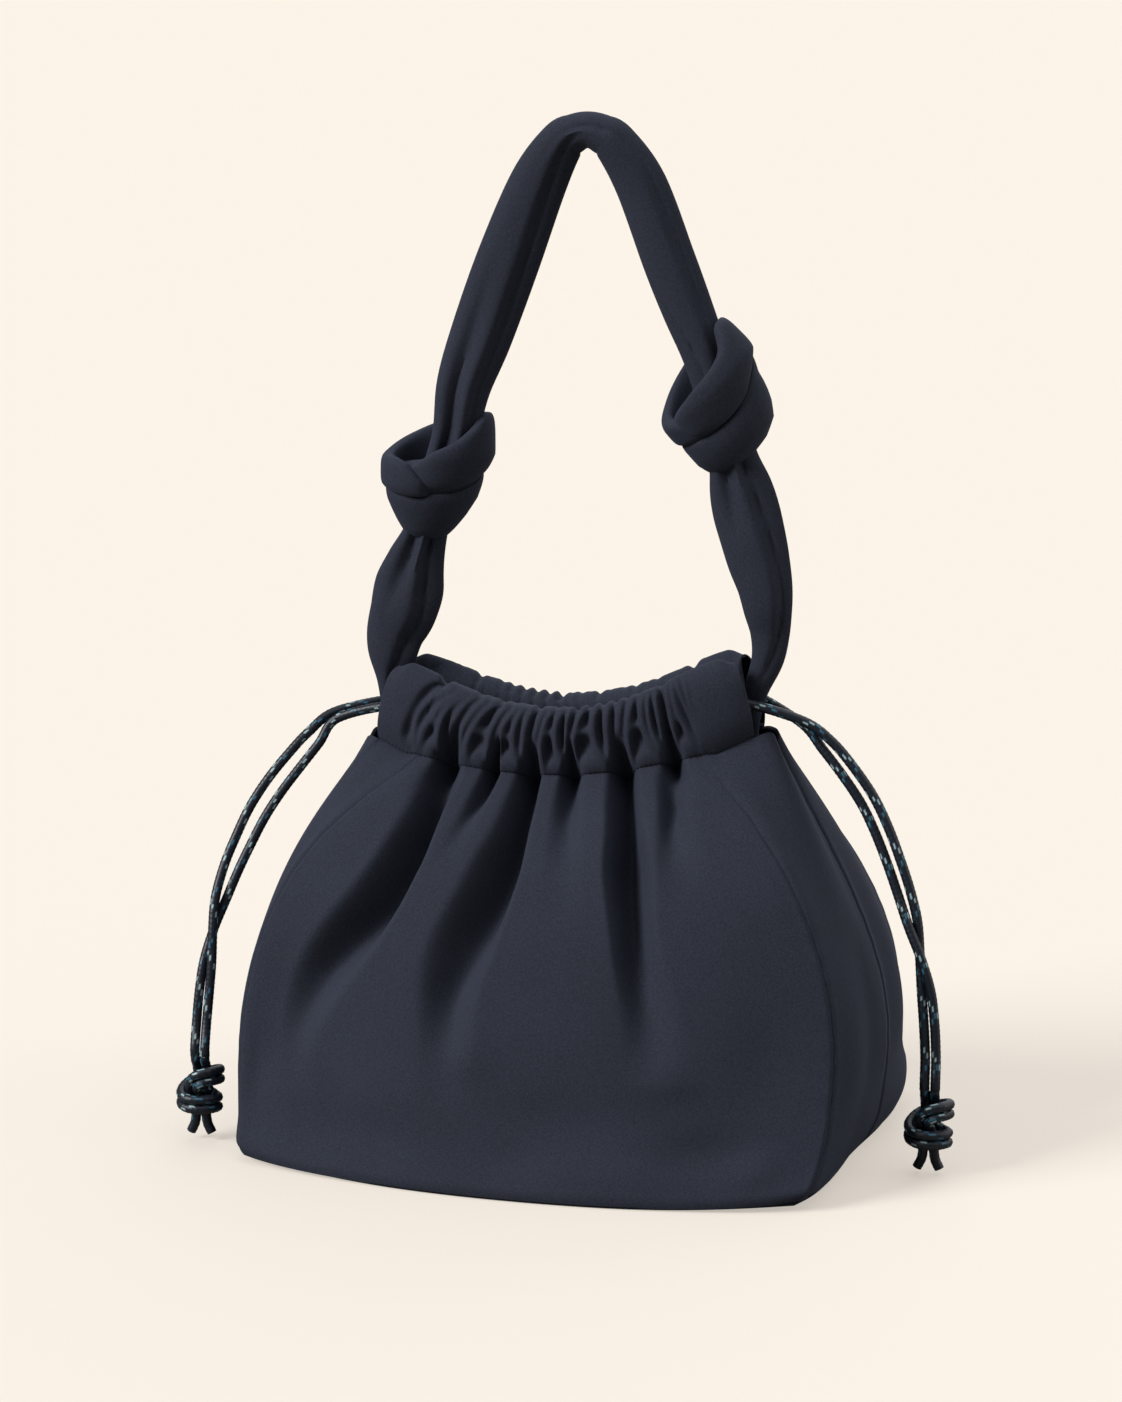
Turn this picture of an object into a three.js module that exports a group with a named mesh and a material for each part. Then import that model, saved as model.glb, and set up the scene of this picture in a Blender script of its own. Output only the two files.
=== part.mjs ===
// Drawstring pouch with a knotted fabric handle, standing with its mouth partly drawn in.
// Millimetres, +Z up, front towards -Y, +X to the viewer's right.
// The origin is the centre of the base, on the surface that the pouch stands on.
import * as THREE from 'three';

// Cloth, cord and running clearances.
const FABRIC = 2.0;
const SEAM_GAP = 0.3;
const CORD_DIAMETER = 4.0;
const CORD_PLAY = 2.1;
const TUNNEL_WALL = 1.4;

// Base: a fabric panel with a stiff board lying on it.
const BASE_THICKNESS = 2.4;
const BOARD_THICKNESS = 2.6;
const BOARD_CLEARANCE = 2.5;

// Body: half sizes at the base edge, at the belly and at the neck, where the tunnel is stitched on.
// Side is the centre of the side, corner is the seam between front and side, front is the front centre.
const BODY_WIDTH = 282;
const BODY_DEPTH = 204;
const BELLY_HEIGHT = 52;
const BELLY_SIDE = BODY_WIDTH / 2;
const BELLY_CORNER_X = BELLY_SIDE - 9.3;
const BASE_SIDE = BELLY_SIDE - 12;
const BASE_CORNER_X = BASE_SIDE - 4;
const BASE_FRONT = BODY_DEPTH / 2;
const BASE_CORNER_Y = BASE_FRONT - 18;
const BELLY_FRONT = BASE_FRONT - 11;
const BELLY_CORNER_Y = BELLY_FRONT - 22;
const NECK_HEIGHT = 160.5;
const NECK_SIDE = BELLY_SIDE - 49;
const NECK_CORNER_X = NECK_SIDE - 30;
const NECK_FRONT = 21;
const NECK_CORNER_Y = NECK_FRONT - 1.5;
const SKIRT_ROUND = 2.4;
const SIDE_ROUND = 2.5;

// The neck rises towards the sides, leans with the standing bag and dips at the slit in each side.
const NECK_ARCH = 20.5;
const NECK_LEAN = 0.06;
const SLIT_DIP = 9;
const SLIT_SPAN = 0.6;

// Folds that run down from the neck of the front and the rear: where each valley lies across the panel
// at the fold levels, what share of the depth it has there, and how far it reaches to its left and right.
const FOLD_LEVELS = [1, 1.1, 1.25, 1.55, 1.85, 2];
const FOLD_DEPTH = 15;
const FOLD_PUFF = 3;
const FOLD_SHARES = [0, 0.25, 0.6, 1, 0.95, 0.45];
const FOLDS = [
  { across: [-0.74, -0.75, -0.72, -0.59, -0.635, -0.77], left: 0.19, right: 0.1 },
  { across: [-0.25, -0.25, -0.27, -0.2, -0.15, -0.19], left: 0.2, right: 0.11 },
  { across: [0.43, 0.43, 0.4, 0.34, 0.345, 0.45], left: 0.11, right: 0.16 },
];

// Tunnel for the cords: gathered along the front and the rear, plain at the four ends.
const TUNNEL_HEIGHT = 32;
const TUNNEL_RISE = 10.5;
const TUNNEL_FOOT = 1.3;
const TUNNEL_FLARE = 2.2;
const STITCH_WALLS = 2.5;
const END_SLACK = 0.5;
const RUFFLES = 11;
const RUFFLE_DEPTH = 1.1;
const END_REACH_LOW = 0.58;
const END_REACH_HIGH = 0.76;
const LEFT_CORD_LEVEL = 0.36;
const RIGHT_CORD_LEVEL = 0.62;
const CORD_EXIT_LEVEL = 0.36;

// Handle: one flattened fabric tube with two overhand knots, sewn into the side slits.
const STRAP_HALF_WIDTH = 13.5;
const STRAP_HALF_THICK = 5.5;
const STRAP_VALLEY = 0.4;
const APEX_X = 8;
const APEX_HEIGHT = 435.5;
const APEX_HALF_RISE = 7.5;
const APEX_HALF_DEPTH = 10;
const SWING_HEIGHT = 224;
const STRAP_END_FOOT = 160;
const STRAP_END_HALF_WIDTH = 6;
const STRAP_END_HALF_THICK = 3.1;
const LEFT_KNOT = {
  x: 33.5 - NECK_SIDE, z: 288, tilt: 16, footX: 15 - NECK_SIDE, legWidth: 15, footWidth: 12,
};
const RIGHT_KNOT = {
  x: NECK_SIDE - 27.6, z: 328.5, tilt: -20, footX: NECK_SIDE - 4, legWidth: 14.5, footWidth: 9,
};

// Shape of an overhand knot in the strap, about its own upright axis.
const KNOT_RADIUS_X = 19.5;
const KNOT_RADIUS_Y = 15.5;
const KNOT_TURN_LEVEL = 12;
const KNOT_REACH = 34;
const KNOT_CORE = 4.6;
const KNOT_BAND = 10.6;
const KNOT_BAND_THICK = 3.9;
const KNOT_CORE_WIDTH = 8;
const KNOT_CORE_THICK = 3.6;

// Knot that joins the two ends of a cord, in the same pattern.
const CORD_KNOT_RADIUS = 7.8;
const CORD_KNOT_TURN_LEVEL = 4.9;
const CORD_KNOT_REACH = 13;
const CORD_KNOT_CORE = 2.5;
const CORD_PAIR_SPACING = 4.6;
const PAIR_VALLEY = 0.4;
const TAIL_LENGTH = 8;
const TAIL_SPLAY = 2.5;

// Middle line of each pair of hanging cord ends, from the slit down to the knot. Each point is how far it
// lies beyond the belly's side, its place front to back and its height.
const LEFT_ROUTE = [
  [-48, -1, 186.4], [-39, -4, 182.6], [-26.5, -12, 169.5], [-10, -25, 146], [-0.5, -35, 124],
  [4.5, -43, 106.5], [7.5, -50, 87], [9, -55, 68], [9.5, -60, 48], [8.8, -63.5, 38],
];
const RIGHT_ROUTE = [
  [-50, -1, 194.6], [-42, -2, 191], [-26, -3, 177.7], [-9, -5, 156.5], [1, -8, 137],
  [9.5, -11, 115.5], [16, -15, 95], [20.5, -18, 74], [23, -22, 52], [23.6, -25.5, 37],
];
const PAIR_SPREAD = 5.2;
const PAIR_BELLY = 2.4;

const FABRIC_LOOK = { color: 0x34373f, roughness: 0.9, metalness: 0 };
const BASE_LOOK = { color: 0x2b2e35, roughness: 0.92, metalness: 0 };
const BOARD_LOOK = { color: 0x6b6258, roughness: 0.95, metalness: 0 };
const CORD_LOOK = { color: 0x1c2430, roughness: 0.6, metalness: 0 };

const { lerp, smoothstep, degToRad } = THREE.MathUtils;
const pouch = new THREE.Group();

function point(x, y, z) {
  return new THREE.Vector3(x, y, z);
}

// Adds one named sub-part, with its faces turned outwards.
function addPart(name, geometry, look) {
  const mesh = new THREE.Mesh(geometry, new THREE.MeshStandardMaterial(look));
  mesh.name = name;
  pouch.add(mesh);
  return mesh;
}

function enclosedVolume(vertices, triangles) {
  let volume = 0;
  for (const [a, b, c] of triangles) {
    volume += vertices[a].dot(vertices[b].clone().cross(vertices[c])) / 6;
  }
  return volume;
}

function closedGeometry(vertices, triangles) {
  const inside = enclosedVolume(vertices, triangles) < 0;
  const facing = triangles.map(([a, b, c]) => (inside ? [a, c, b] : [a, b, c]));
  const geometry = new THREE.BufferGeometry();
  geometry.setFromPoints(vertices);
  geometry.setIndex(facing.flat());
  geometry.computeVertexNormals();
  return geometry;
}

// Solid between two grids of points, rows by columns. A tube's columns join round.
function wallSolid(outer, inner, isTube) {
  const rows = outer.length;
  const columns = outer[0].length;
  const vertices = [...outer.flat(), ...inner.flat()];
  const triangles = [];
  const outerAt = (row, column) => row * columns + (column % columns);
  const innerAt = (row, column) => rows * columns + outerAt(row, column);
  const quad = (a, b, c, d) => triangles.push([a, b, c], [a, c, d]);
  const spans = isTube ? columns : columns - 1;
  for (let row = 0; row < rows - 1; row += 1) {
    for (let column = 0; column < spans; column += 1) {
      const next = column + 1;
      quad(outerAt(row, column), outerAt(row, next), outerAt(row + 1, next), outerAt(row + 1, column));
      quad(innerAt(row, column), innerAt(row + 1, column), innerAt(row + 1, next), innerAt(row, next));
    }
    if (!isTube) {
      const last = columns - 1;
      quad(outerAt(row, 0), outerAt(row + 1, 0), innerAt(row + 1, 0), innerAt(row, 0));
      quad(outerAt(row, last), innerAt(row, last), innerAt(row + 1, last), outerAt(row + 1, last));
    }
  }
  const top = rows - 1;
  for (let column = 0; column < spans; column += 1) {
    const next = column + 1;
    quad(outerAt(0, column), innerAt(0, column), innerAt(0, next), outerAt(0, next));
    quad(outerAt(top, column), outerAt(top, next), innerAt(top, next), innerAt(top, column));
  }
  return closedGeometry(vertices, triangles);
}

// Solid through a row of rings, closed by a fan at each end.
function ringSolid(rings) {
  const sides = rings[0].length;
  const vertices = rings.flat();
  const triangles = [];
  for (let ring = 0; ring < rings.length - 1; ring += 1) {
    for (let side = 0; side < sides; side += 1) {
      const a = ring * sides + side;
      const b = ring * sides + ((side + 1) % sides);
      triangles.push([a, b, b + sides], [a, b + sides, a + sides]);
    }
  }
  for (const [first, isStart] of [[0, true], [(rings.length - 1) * sides, false]]) {
    const middle = point(0, 0, 0);
    vertices.slice(first, first + sides).forEach((corner) => middle.addScaledVector(corner, 1 / sides));
    const hub = vertices.push(middle) - 1;
    for (let side = 0; side < sides; side += 1) {
      const a = first + side;
      const b = first + ((side + 1) % sides);
      triangles.push(isStart ? [hub, b, a] : [hub, a, b]);
    }
  }
  return closedGeometry(vertices, triangles);
}

// Oval ring round a point. A valley draws the middle of its front or of its back in.
function ovalRing(centre, widthWay, thickWay, halfWidth, halfThick, sides, frontValley = 0, backValley = 0) {
  const ring = [];
  for (let side = 0; side < sides; side += 1) {
    const angle = (2 * Math.PI * side) / sides;
    const valley = Math.sin(angle) < 0 ? frontValley : backValley;
    const dip = 1 - valley * Math.sin(angle) ** 8;
    const corner = centre.clone();
    corner.addScaledVector(widthWay, halfWidth * Math.cos(angle));
    corner.addScaledVector(thickWay, halfThick * Math.sin(angle) * dip);
    ring.push(corner);
  }
  return ring;
}

// Body surface

function bezier(a, b, c, d, t) {
  const u = 1 - t;
  return u * u * u * a + 3 * u * u * t * b + 3 * u * t * t * c + t * t * t * d;
}

// Half sizes at a level: 0 is the base edge, 1 the belly and 2 the neck. The sides swell up to the belly,
// and the front and the rear lean in from the base on.
const RISE_SHARE = 0.4;
const DRAW_SHARE = 0.35;
const PROFILES = {
  side: { base: BASE_SIDE, belly: BELLY_SIDE, neck: NECK_SIDE, full: 0.55, leans: false },
  cornerX: { base: BASE_CORNER_X, belly: BELLY_CORNER_X, neck: NECK_CORNER_X, full: 0.9, leans: false },
  cornerY: { base: BASE_CORNER_Y, belly: BELLY_CORNER_Y, neck: NECK_CORNER_Y, full: 0.77, leans: true },
  front: { base: BASE_FRONT, belly: BELLY_FRONT, neck: NECK_FRONT, full: 0.67, leans: true },
};
const SKIRT_HEIGHT = BASE_THICKNESS + SEAM_GAP;
const NECK_EDGE = NECK_HEIGHT - SEAM_GAP;

function girth(level) {
  const sizes = {};
  const upper = Math.max(0, level - 1);
  const swell = 1 - (1 - Math.min(1, level)) ** SKIRT_ROUND;
  const climb = NECK_EDGE - BELLY_HEIGHT;
  const carry = (RISE_SHARE * climb) / (BELLY_HEIGHT - SKIRT_HEIGHT);
  for (const [name, { base, belly, neck, full, leans }] of Object.entries(PROFILES)) {
    const low = lerp(base, belly, leans ? level : swell);
    const lead = leans ? carry * (belly - base) : 0;
    sizes[name] = level <= 1 ? low : bezier(belly, belly + lead, lerp(neck, belly, full), neck, upper);
  }
  const rise = BELLY_HEIGHT + RISE_SHARE * climb;
  const draw = NECK_EDGE - DRAW_SHARE * climb;
  const skirt = lerp(SKIRT_HEIGHT, BELLY_HEIGHT, level);
  sizes.z = level <= 1 ? skirt : bezier(BELLY_HEIGHT, rise, draw, NECK_EDGE, upper);
  sizes.drawn = upper * upper;
  return sizes;
}

// How far the neck stands above its front centre at a place across the bag.
function neckLift(x) {
  return NECK_ARCH * (x / NECK_SIDE) ** 2 + NECK_LEAN * x;
}

// Value at a level of a list that is given at the fold levels.
function atLevel(values, level) {
  const last = FOLD_LEVELS.length - 2;
  const after = FOLD_LEVELS.findIndex((mark) => mark > level);
  const start = level < FOLD_LEVELS[0] ? 0 : after < 0 ? last : after - 1;
  const share = (level - FOLD_LEVELS[start]) / (FOLD_LEVELS[start + 1] - FOLD_LEVELS[start]);
  return lerp(values[start], values[start + 1], Math.max(0, Math.min(1, share)));
}

// How far a gathered panel stands out of its plain form, or in of it in a fold's valley.
function foldHeight(across, level) {
  let height = FOLD_PUFF * Math.max(0, level - 1) * (1 - across ** 6);
  for (const fold of FOLDS) {
    const offset = across - atLevel(fold.across, level);
    const reach = offset < 0 ? fold.left : fold.right;
    const slope = Math.max(0, 1 - (offset / reach) ** 2);
    height -= FOLD_DEPTH * atLevel(FOLD_SHARES, level) * slope * slope;
  }
  return height;
}

// Point on the front (facing -1) or the rear (facing 1). Across runs from -1 to 1 between the corner seams.
function facePoint(across, level, inset, facing) {
  const { cornerX, cornerY, front, z, drawn } = girth(level);
  const x = across * (cornerX - inset);
  const bow = (front - cornerY) * (1 - across * across);
  const fold = foldHeight(-facing * across, level);
  return point(x, facing * (cornerY - inset + bow + fold), z + drawn * neckLift(x));
}

// Point on a quarter of the side. Round runs from 0 at the side seam to 1 at the corner seam.
function sidePoint(round, level, inset, end, facing) {
  const { side, cornerX, cornerY, z, drawn } = girth(level);
  const x = end * (side - inset - (side - cornerX) * round ** SIDE_ROUND);
  const dip = SLIT_DIP * Math.max(0, 1 - round / SLIT_SPAN) ** 2;
  return point(x, facing * round * (cornerY - inset), z + drawn * (neckLift(x) - dip));
}

const PANEL_LEVELS = [0, 0.35, 1, 1.12, 1.25, 1.4, 1.55, 1.7, 1.85, 2];
const PANEL_COLUMNS = 36;

function facePanel(facing) {
  const columns = PANEL_COLUMNS;
  const grid = (inset) => PANEL_LEVELS.map((level) => {
    const reach = 1 - SEAM_GAP / 2 / girth(level).cornerX;
    const row = [];
    for (let column = 0; column <= columns; column += 1) {
      row.push(facePoint(lerp(-reach, reach, column / columns), level, inset, facing));
    }
    return row;
  });
  return wallSolid(grid(0), grid(FABRIC), false);
}

function sidePanel(end, facing) {
  const columns = 6;
  const grid = (inset) => PANEL_LEVELS.map((level) => {
    const margin = SEAM_GAP / 2 / girth(level).cornerY;
    const row = [];
    for (let column = 0; column <= columns; column += 1) {
      row.push(sidePoint(lerp(margin, 1 - margin, column / columns), level, inset, end, facing));
    }
    return row;
  });
  return wallSolid(grid(0), grid(FABRIC), false);
}

// Flat plate with the outline of the base edge, drawn in by an inset.
function basePlate(inset, thickness, floor) {
  const outline = [];
  const quarter = 6;
  const corners = [[1, -1], [1, 1], [-1, 1], [-1, -1]];
  for (const [end, facing] of corners) {
    const arc = [];
    for (let step = 0; step < quarter; step += 1) {
      arc.push(facePoint(end * (step / quarter), 0, inset, facing));
    }
    for (let step = quarter; step > 0; step -= 1) {
      arc.push(sidePoint(step / quarter, 0, inset, end, facing));
    }
    outline.push(...(end * facing < 0 ? arc : arc.reverse()));
  }
  const shape = new THREE.Shape(outline.map(({ x, y }) => new THREE.Vector2(x, y)));
  const geometry = new THREE.ExtrudeGeometry(shape, { depth: thickness, bevelEnabled: false });
  return geometry.translate(0, 0, floor);
}

addPart('base_panel', basePlate(0, BASE_THICKNESS, 0), BASE_LOOK);
const boardFloor = BASE_THICKNESS + SEAM_GAP;
addPart('base_board', basePlate(FABRIC + BOARD_CLEARANCE, BOARD_THICKNESS, boardFloor), BOARD_LOOK);

const FACINGS = { front: -1, rear: 1 };
const ENDS = { left: -1, right: 1 };
for (const [face, facing] of Object.entries(FACINGS)) {
  addPart(`${face}_panel`, facePanel(facing), FABRIC_LOOK);
  for (const [side, end] of Object.entries(ENDS)) {
    addPart(`${side}_side_${face}`, sidePanel(end, facing), FABRIC_LOOK);
  }
}

// Cord tunnel

const TUNNEL_HALF = CORD_DIAMETER / 2 + CORD_PLAY + TUNNEL_WALL;
const TUNNEL_SIDES = 8;

// Neck line in plan without its folds, with the way into the bag. The place is -1 to 1 along a face,
// or the round value of a side quarter.
function neckPlace(place, facing, end) {
  const plan = (value) => {
    const at = girth(2);
    const bow = (at.front - at.cornerY) * (1 - value * value);
    if (end === 0) return point(value * at.cornerX, facing * (at.cornerY + bow), 0);
    const x = end * (at.side - (at.side - at.cornerX) * value ** SIDE_ROUND);
    return point(x, facing * value * at.cornerY, 0);
  };
  const centre = plan(place);
  const inward = point(0, -facing, 0);
  if (end === 0) return { centre, inward };
  const nudge = 0.01;
  const along = plan(place + nudge).sub(plan(place - nudge)).normalize();
  const square = point(-along.y, along.x, 0).multiplyScalar(end * facing);
  return { centre, inward: inward.lerp(square, 1 - smoothstep(place, SLIT_SPAN, 1)).normalize() };
}

// Point in the tunnel's section: share 0 is the stitched foot and 1 the top edge, sway -1 out and 1 in.
function tunnelPoint({ centre, inward }, share, sway, half, drop = 0) {
  const { x } = centre;
  const height = TUNNEL_HEIGHT + TUNNEL_RISE * (x / NECK_SIDE) ** 2 - drop;
  const middle = lerp(TUNNEL_FOOT, TUNNEL_HALF, Math.min(1, TUNNEL_FLARE * share));
  const spot = centre.clone().addScaledVector(inward, middle + sway * half);
  spot.z = NECK_HEIGHT + neckLift(x) + share * height;
  return spot;
}

// Closed ring of the tunnel's section. The lining ring is drawn in by the wall.
function tunnelRing(placeAt, half, isInner, drop = 0) {
  const ring = [];
  const floor = isInner ? STITCH_WALLS * TUNNEL_WALL / TUNNEL_HEIGHT : 0;
  const ceiling = isInner ? 1 - TUNNEL_WALL / TUNNEL_HEIGHT : 1;
  for (let side = 0; side < TUNNEL_SIDES; side += 1) {
    const angle = (2 * Math.PI * side) / TUNNEL_SIDES;
    const share = lerp(floor, ceiling, (1 - Math.cos(angle)) / 2);
    const width = isInner ? half - TUNNEL_WALL : half;
    ring.push(tunnelPoint(placeAt(share), share, -Math.sin(angle), width, drop));
  }
  return ring;
}

function gatheredTunnel(facing) {
  const columns = RUFFLES * 4;
  const reach = 1 - SEAM_GAP / NECK_CORNER_X;
  const rings = (isInner) => {
    const rows = [];
    for (let column = 0; column <= columns; column += 1) {
      const place = lerp(-reach, reach, column / columns);
      const wave = Math.cos((2 * Math.PI * RUFFLES * column) / columns);
      const half = TUNNEL_HALF + RUFFLE_DEPTH * (wave - 1) / 2;
      const at = neckPlace(place, facing, 0);
      rows.push(tunnelRing(() => at, half, isInner, RUFFLE_DEPTH * (1 - wave) / 2));
    }
    return rows;
  };
  return wallSolid(rings(false), rings(true), true);
}

// Plain end of the tunnel, cut back on a slant along the side slit.
const END_HALF = TUNNEL_HALF - END_SLACK;
function plainTunnel(end, facing) {
  const steps = 4;
  const start = 1 - SEAM_GAP / NECK_CORNER_X;
  const rings = (isInner) => {
    const rows = [];
    for (let step = 0; step <= steps; step += 1) {
      const along = step / steps;
      const placeAt = (share) => {
        const stop = lerp(END_REACH_LOW, END_REACH_HIGH, share);
        return neckPlace(lerp(start, stop, along), facing, end);
      };
      rows.push(tunnelRing(placeAt, lerp(TUNNEL_HALF - RUFFLE_DEPTH, END_HALF, along), isInner));
    }
    return rows;
  };
  return wallSolid(rings(false), rings(true), true);
}

for (const [face, facing] of Object.entries(FACINGS)) {
  addPart(`${face}_tunnel`, gatheredTunnel(facing), FABRIC_LOOK);
  for (const [side, end] of Object.entries(ENDS)) {
    addPart(`${side}_tunnel_end_${face}`, plainTunnel(end, facing), FABRIC_LOOK);
  }
}

// Handle

const DEPTH_WAY = point(0, 1, 0);
const STRAP_SIDES = 12;

// Solid band along a curve in the plane of the handle, its width in that plane.
function flatBand(curve, steps, halfWidthAt, halfThickAt, valley) {
  const rings = [];
  for (let step = 0; step <= steps; step += 1) {
    const t = step / steps;
    const widthWay = DEPTH_WAY.clone().cross(curve.getTangentAt(t)).normalize();
    const ring = [curve.getPointAt(t), widthWay, DEPTH_WAY, halfWidthAt(t), halfThickAt(t)];
    rings.push(ovalRing(...ring, STRAP_SIDES, valley));
  }
  return rings;
}

function knotAxis({ tilt }) {
  return point(Math.sin(degToRad(tilt)), 0, Math.cos(degToRad(tilt)));
}

// End of a knot's strap above (way 1) or below (way -1) the knot.
function knotEnd(knot, way, clearance = 0) {
  return point(knot.x, 0, knot.z).addScaledVector(knotAxis(knot), way * (KNOT_REACH + clearance));
}

const LEFT_ARM_PULL = 60;
const RIGHT_ARM_PULL = 40;
const APEX_PULL = 18;
const KNOT_STRAP_WIDTH = 10;
const KNOT_STRAP_THICK = 5;
const LEG_BULGE = 1.3;
const APEX_SPAN = 0.09;
const ARM_TAPER = 0.16;
const KNOT_TAPER = 0.09;

function strapArch() {
  const apex = point(APEX_X, 0, APEX_HEIGHT);
  const aside = point(APEX_PULL, 0, 0);
  const from = knotEnd(LEFT_KNOT, 1, SEAM_GAP);
  const to = knotEnd(RIGHT_KNOT, 1, SEAM_GAP);
  const leftPull = from.clone().addScaledVector(knotAxis(LEFT_KNOT), LEFT_ARM_PULL);
  const rightPull = to.clone().addScaledVector(knotAxis(RIGHT_KNOT), RIGHT_ARM_PULL);
  const path = new THREE.CurvePath();
  path.add(new THREE.CubicBezierCurve3(from, leftPull, apex.clone().sub(aside), apex));
  path.add(new THREE.CubicBezierCurve3(apex, apex.clone().add(aside), rightPull, to));
  const [leftLength, wholeLength] = path.getCurveLengths();
  const apexAt = leftLength / wholeLength;
  const nearApex = (t) => Math.exp(-(((t - apexAt) / APEX_SPAN) ** 2));
  const nearKnot = (t) => Math.max(0, 1 - Math.min(t, 1 - t) / ARM_TAPER);
  const armWidth = (t) => lerp(STRAP_HALF_WIDTH, KNOT_STRAP_WIDTH, nearKnot(t));
  const widthAt = (t) => lerp(armWidth(t), APEX_HALF_RISE, nearApex(t));
  const thickAt = (t) => lerp(STRAP_HALF_THICK, APEX_HALF_DEPTH, nearApex(t));
  return ringSolid(flatBand(path, 28, widthAt, thickAt, STRAP_VALLEY));
}

// Lower length of the strap, rounded at its foot about the line that the handle swings on.
function strapLeg(knot) {
  const from = knotEnd(knot, -1, SEAM_GAP);
  const foot = point(knot.footX, 0, SWING_HEIGHT);
  const pull = (SWING_HEIGHT - from.z) / 3;
  const belowKnot = from.clone().addScaledVector(knotAxis(knot), pull);
  const aboveFoot = foot.clone().add(point(0, 0, -pull));
  const path = new THREE.CubicBezierCurve3(from, belowKnot, aboveFoot, foot);
  const spread = (t) => Math.sin(Math.PI * Math.min(1, t * LEG_BULGE));
  const widthAt = (t) => lerp(lerp(KNOT_STRAP_WIDTH, knot.footWidth, t), knot.legWidth, spread(t));
  const rings = flatBand(path, 8, widthAt, () => KNOT_STRAP_THICK, 0);
  const footWay = DEPTH_WAY.clone().cross(path.getTangentAt(1)).normalize();
  for (const turn of [25, 50, 75]) {
    const drop = KNOT_STRAP_THICK * Math.sin(degToRad(turn));
    const halfThick = KNOT_STRAP_THICK * Math.cos(degToRad(turn));
    const centre = foot.clone().add(point(0, 0, -drop));
    rings.push(ovalRing(centre, footWay, DEPTH_WAY, knot.footWidth, halfThick, STRAP_SIDES));
  }
  return ringSolid(rings);
}

// Sewn end of the strap, pinched flat between the tunnel ends and tucked into the side slit.
function strapEnd(knot) {
  const end = Math.sign(knot.footX);
  const top = SWING_HEIGHT - KNOT_STRAP_THICK - 2 * SEAM_GAP;
  const tuckX = end * (NECK_SIDE - FABRIC - SEAM_GAP - STRAP_END_HALF_WIDTH);
  const slices = 6;
  const rings = [];
  for (let slice = 0; slice <= slices; slice += 1) {
    const share = slice / slices;
    const open = smoothstep(share, 0.55, 1);
    const centre = point(lerp(tuckX, knot.footX, open), 0, lerp(STRAP_END_FOOT, top, share));
    const halfWidth = lerp(STRAP_END_HALF_WIDTH, knot.footWidth, open);
    const halfThick = lerp(STRAP_END_HALF_THICK, KNOT_STRAP_THICK, smoothstep(share, 0.8, 1));
    rings.push(ovalRing(centre, point(1, 0, 0), DEPTH_WAY, halfWidth, halfThick, STRAP_SIDES));
  }
  return ringSolid(rings);
}

// Overhand knot tied round its own axis. The strand comes down the rear of the core, leaves it to the
// right, goes once round the front, the left and the back, crosses the front again and goes down through
// that turn. Each step is [x, y, z, way of the width].
function overhandSteps(radiusX, radiusY, level, reach, core) {
  const steps = [];
  const across = point(1, 0, 0);
  const back = point(-1, 0, 0);
  const upright = point(0, 0, 1);
  const add = (x, y, z, widthWay, turn) => steps.push({ at: point(x, y, z), widthWay, turn });
  add(0, 0, reach, across, 0);
  add(0, 0, reach * 0.88, across, 0);
  add(0, core * 0.7, reach * 0.62, across, 0);
  add(0, core, reach * 0.3, across, 0);
  add(0, core, 0, across, 0);
  add(core * 0.5, core * 1.1, -level * 0.75, across.clone().lerp(upright, 0.26), 0.1);
  add(radiusX * 0.55, core * 1.2, -level * 1.22, across.clone().lerp(upright, 0.7), 0.45);
  const turns = [
    [80, -1.2], [45, -1.18], [10, -1.16], [-25, -1.14], [-60, -1.04], [-95, -0.78], [-130, -0.4],
    [-165, 0.02], [-200, 0.45], [-235, 0.8], [-270, 1.02], [-305, 1.12], [-332, 1.08],
  ];
  for (const [degrees, rise] of turns) {
    const angle = degToRad(degrees);
    add(radiusX * Math.sin(angle), -radiusY * Math.cos(angle), level * rise, upright, 1);
  }
  add(radiusX * 0.1, -radiusY * 0.9, level * 0.8, upright.clone().lerp(back, 0.22), 0.75);
  add(-radiusX * 0.12, -radiusY * 0.7, level * 0.3, upright.clone().lerp(back, 0.5), 0.4);
  add(-radiusX * 0.16, -core * 1.5, -level * 0.2, upright.clone().lerp(back, 0.8), 0.1);
  add(-radiusX * 0.08, -core, -level * 0.8, back, 0);
  add(0, -core, -reach * 0.45, back, 0);
  add(0, -core * 0.5, -reach * 0.7, back, 0);
  add(0, 0, -reach * 0.9, back, 0);
  add(0, 0, -reach, back, 0);
  return steps;
}

// Smooth run through the steps, with the width square to the run at every ring.
function knotFrames(steps, count) {
  const path = new THREE.CatmullRomCurve3(steps.map(({ at }) => at));
  const frames = [];
  for (let ring = 0; ring <= count; ring += 1) {
    const t = ring / count;
    const slot = Math.min(steps.length - 2, Math.floor(t * (steps.length - 1)));
    const blend = t * (steps.length - 1) - slot;
    const along = path.getTangent(t);
    const widthWay = steps[slot].widthWay.clone().lerp(steps[slot + 1].widthWay, blend);
    widthWay.addScaledVector(along, -widthWay.dot(along)).normalize();
    const turn = lerp(steps[slot].turn, steps[slot + 1].turn, blend);
    frames.push({ at: path.getPoint(t), widthWay, thickWay: along.clone().cross(widthWay), turn, t });
  }
  return frames;
}

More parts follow.
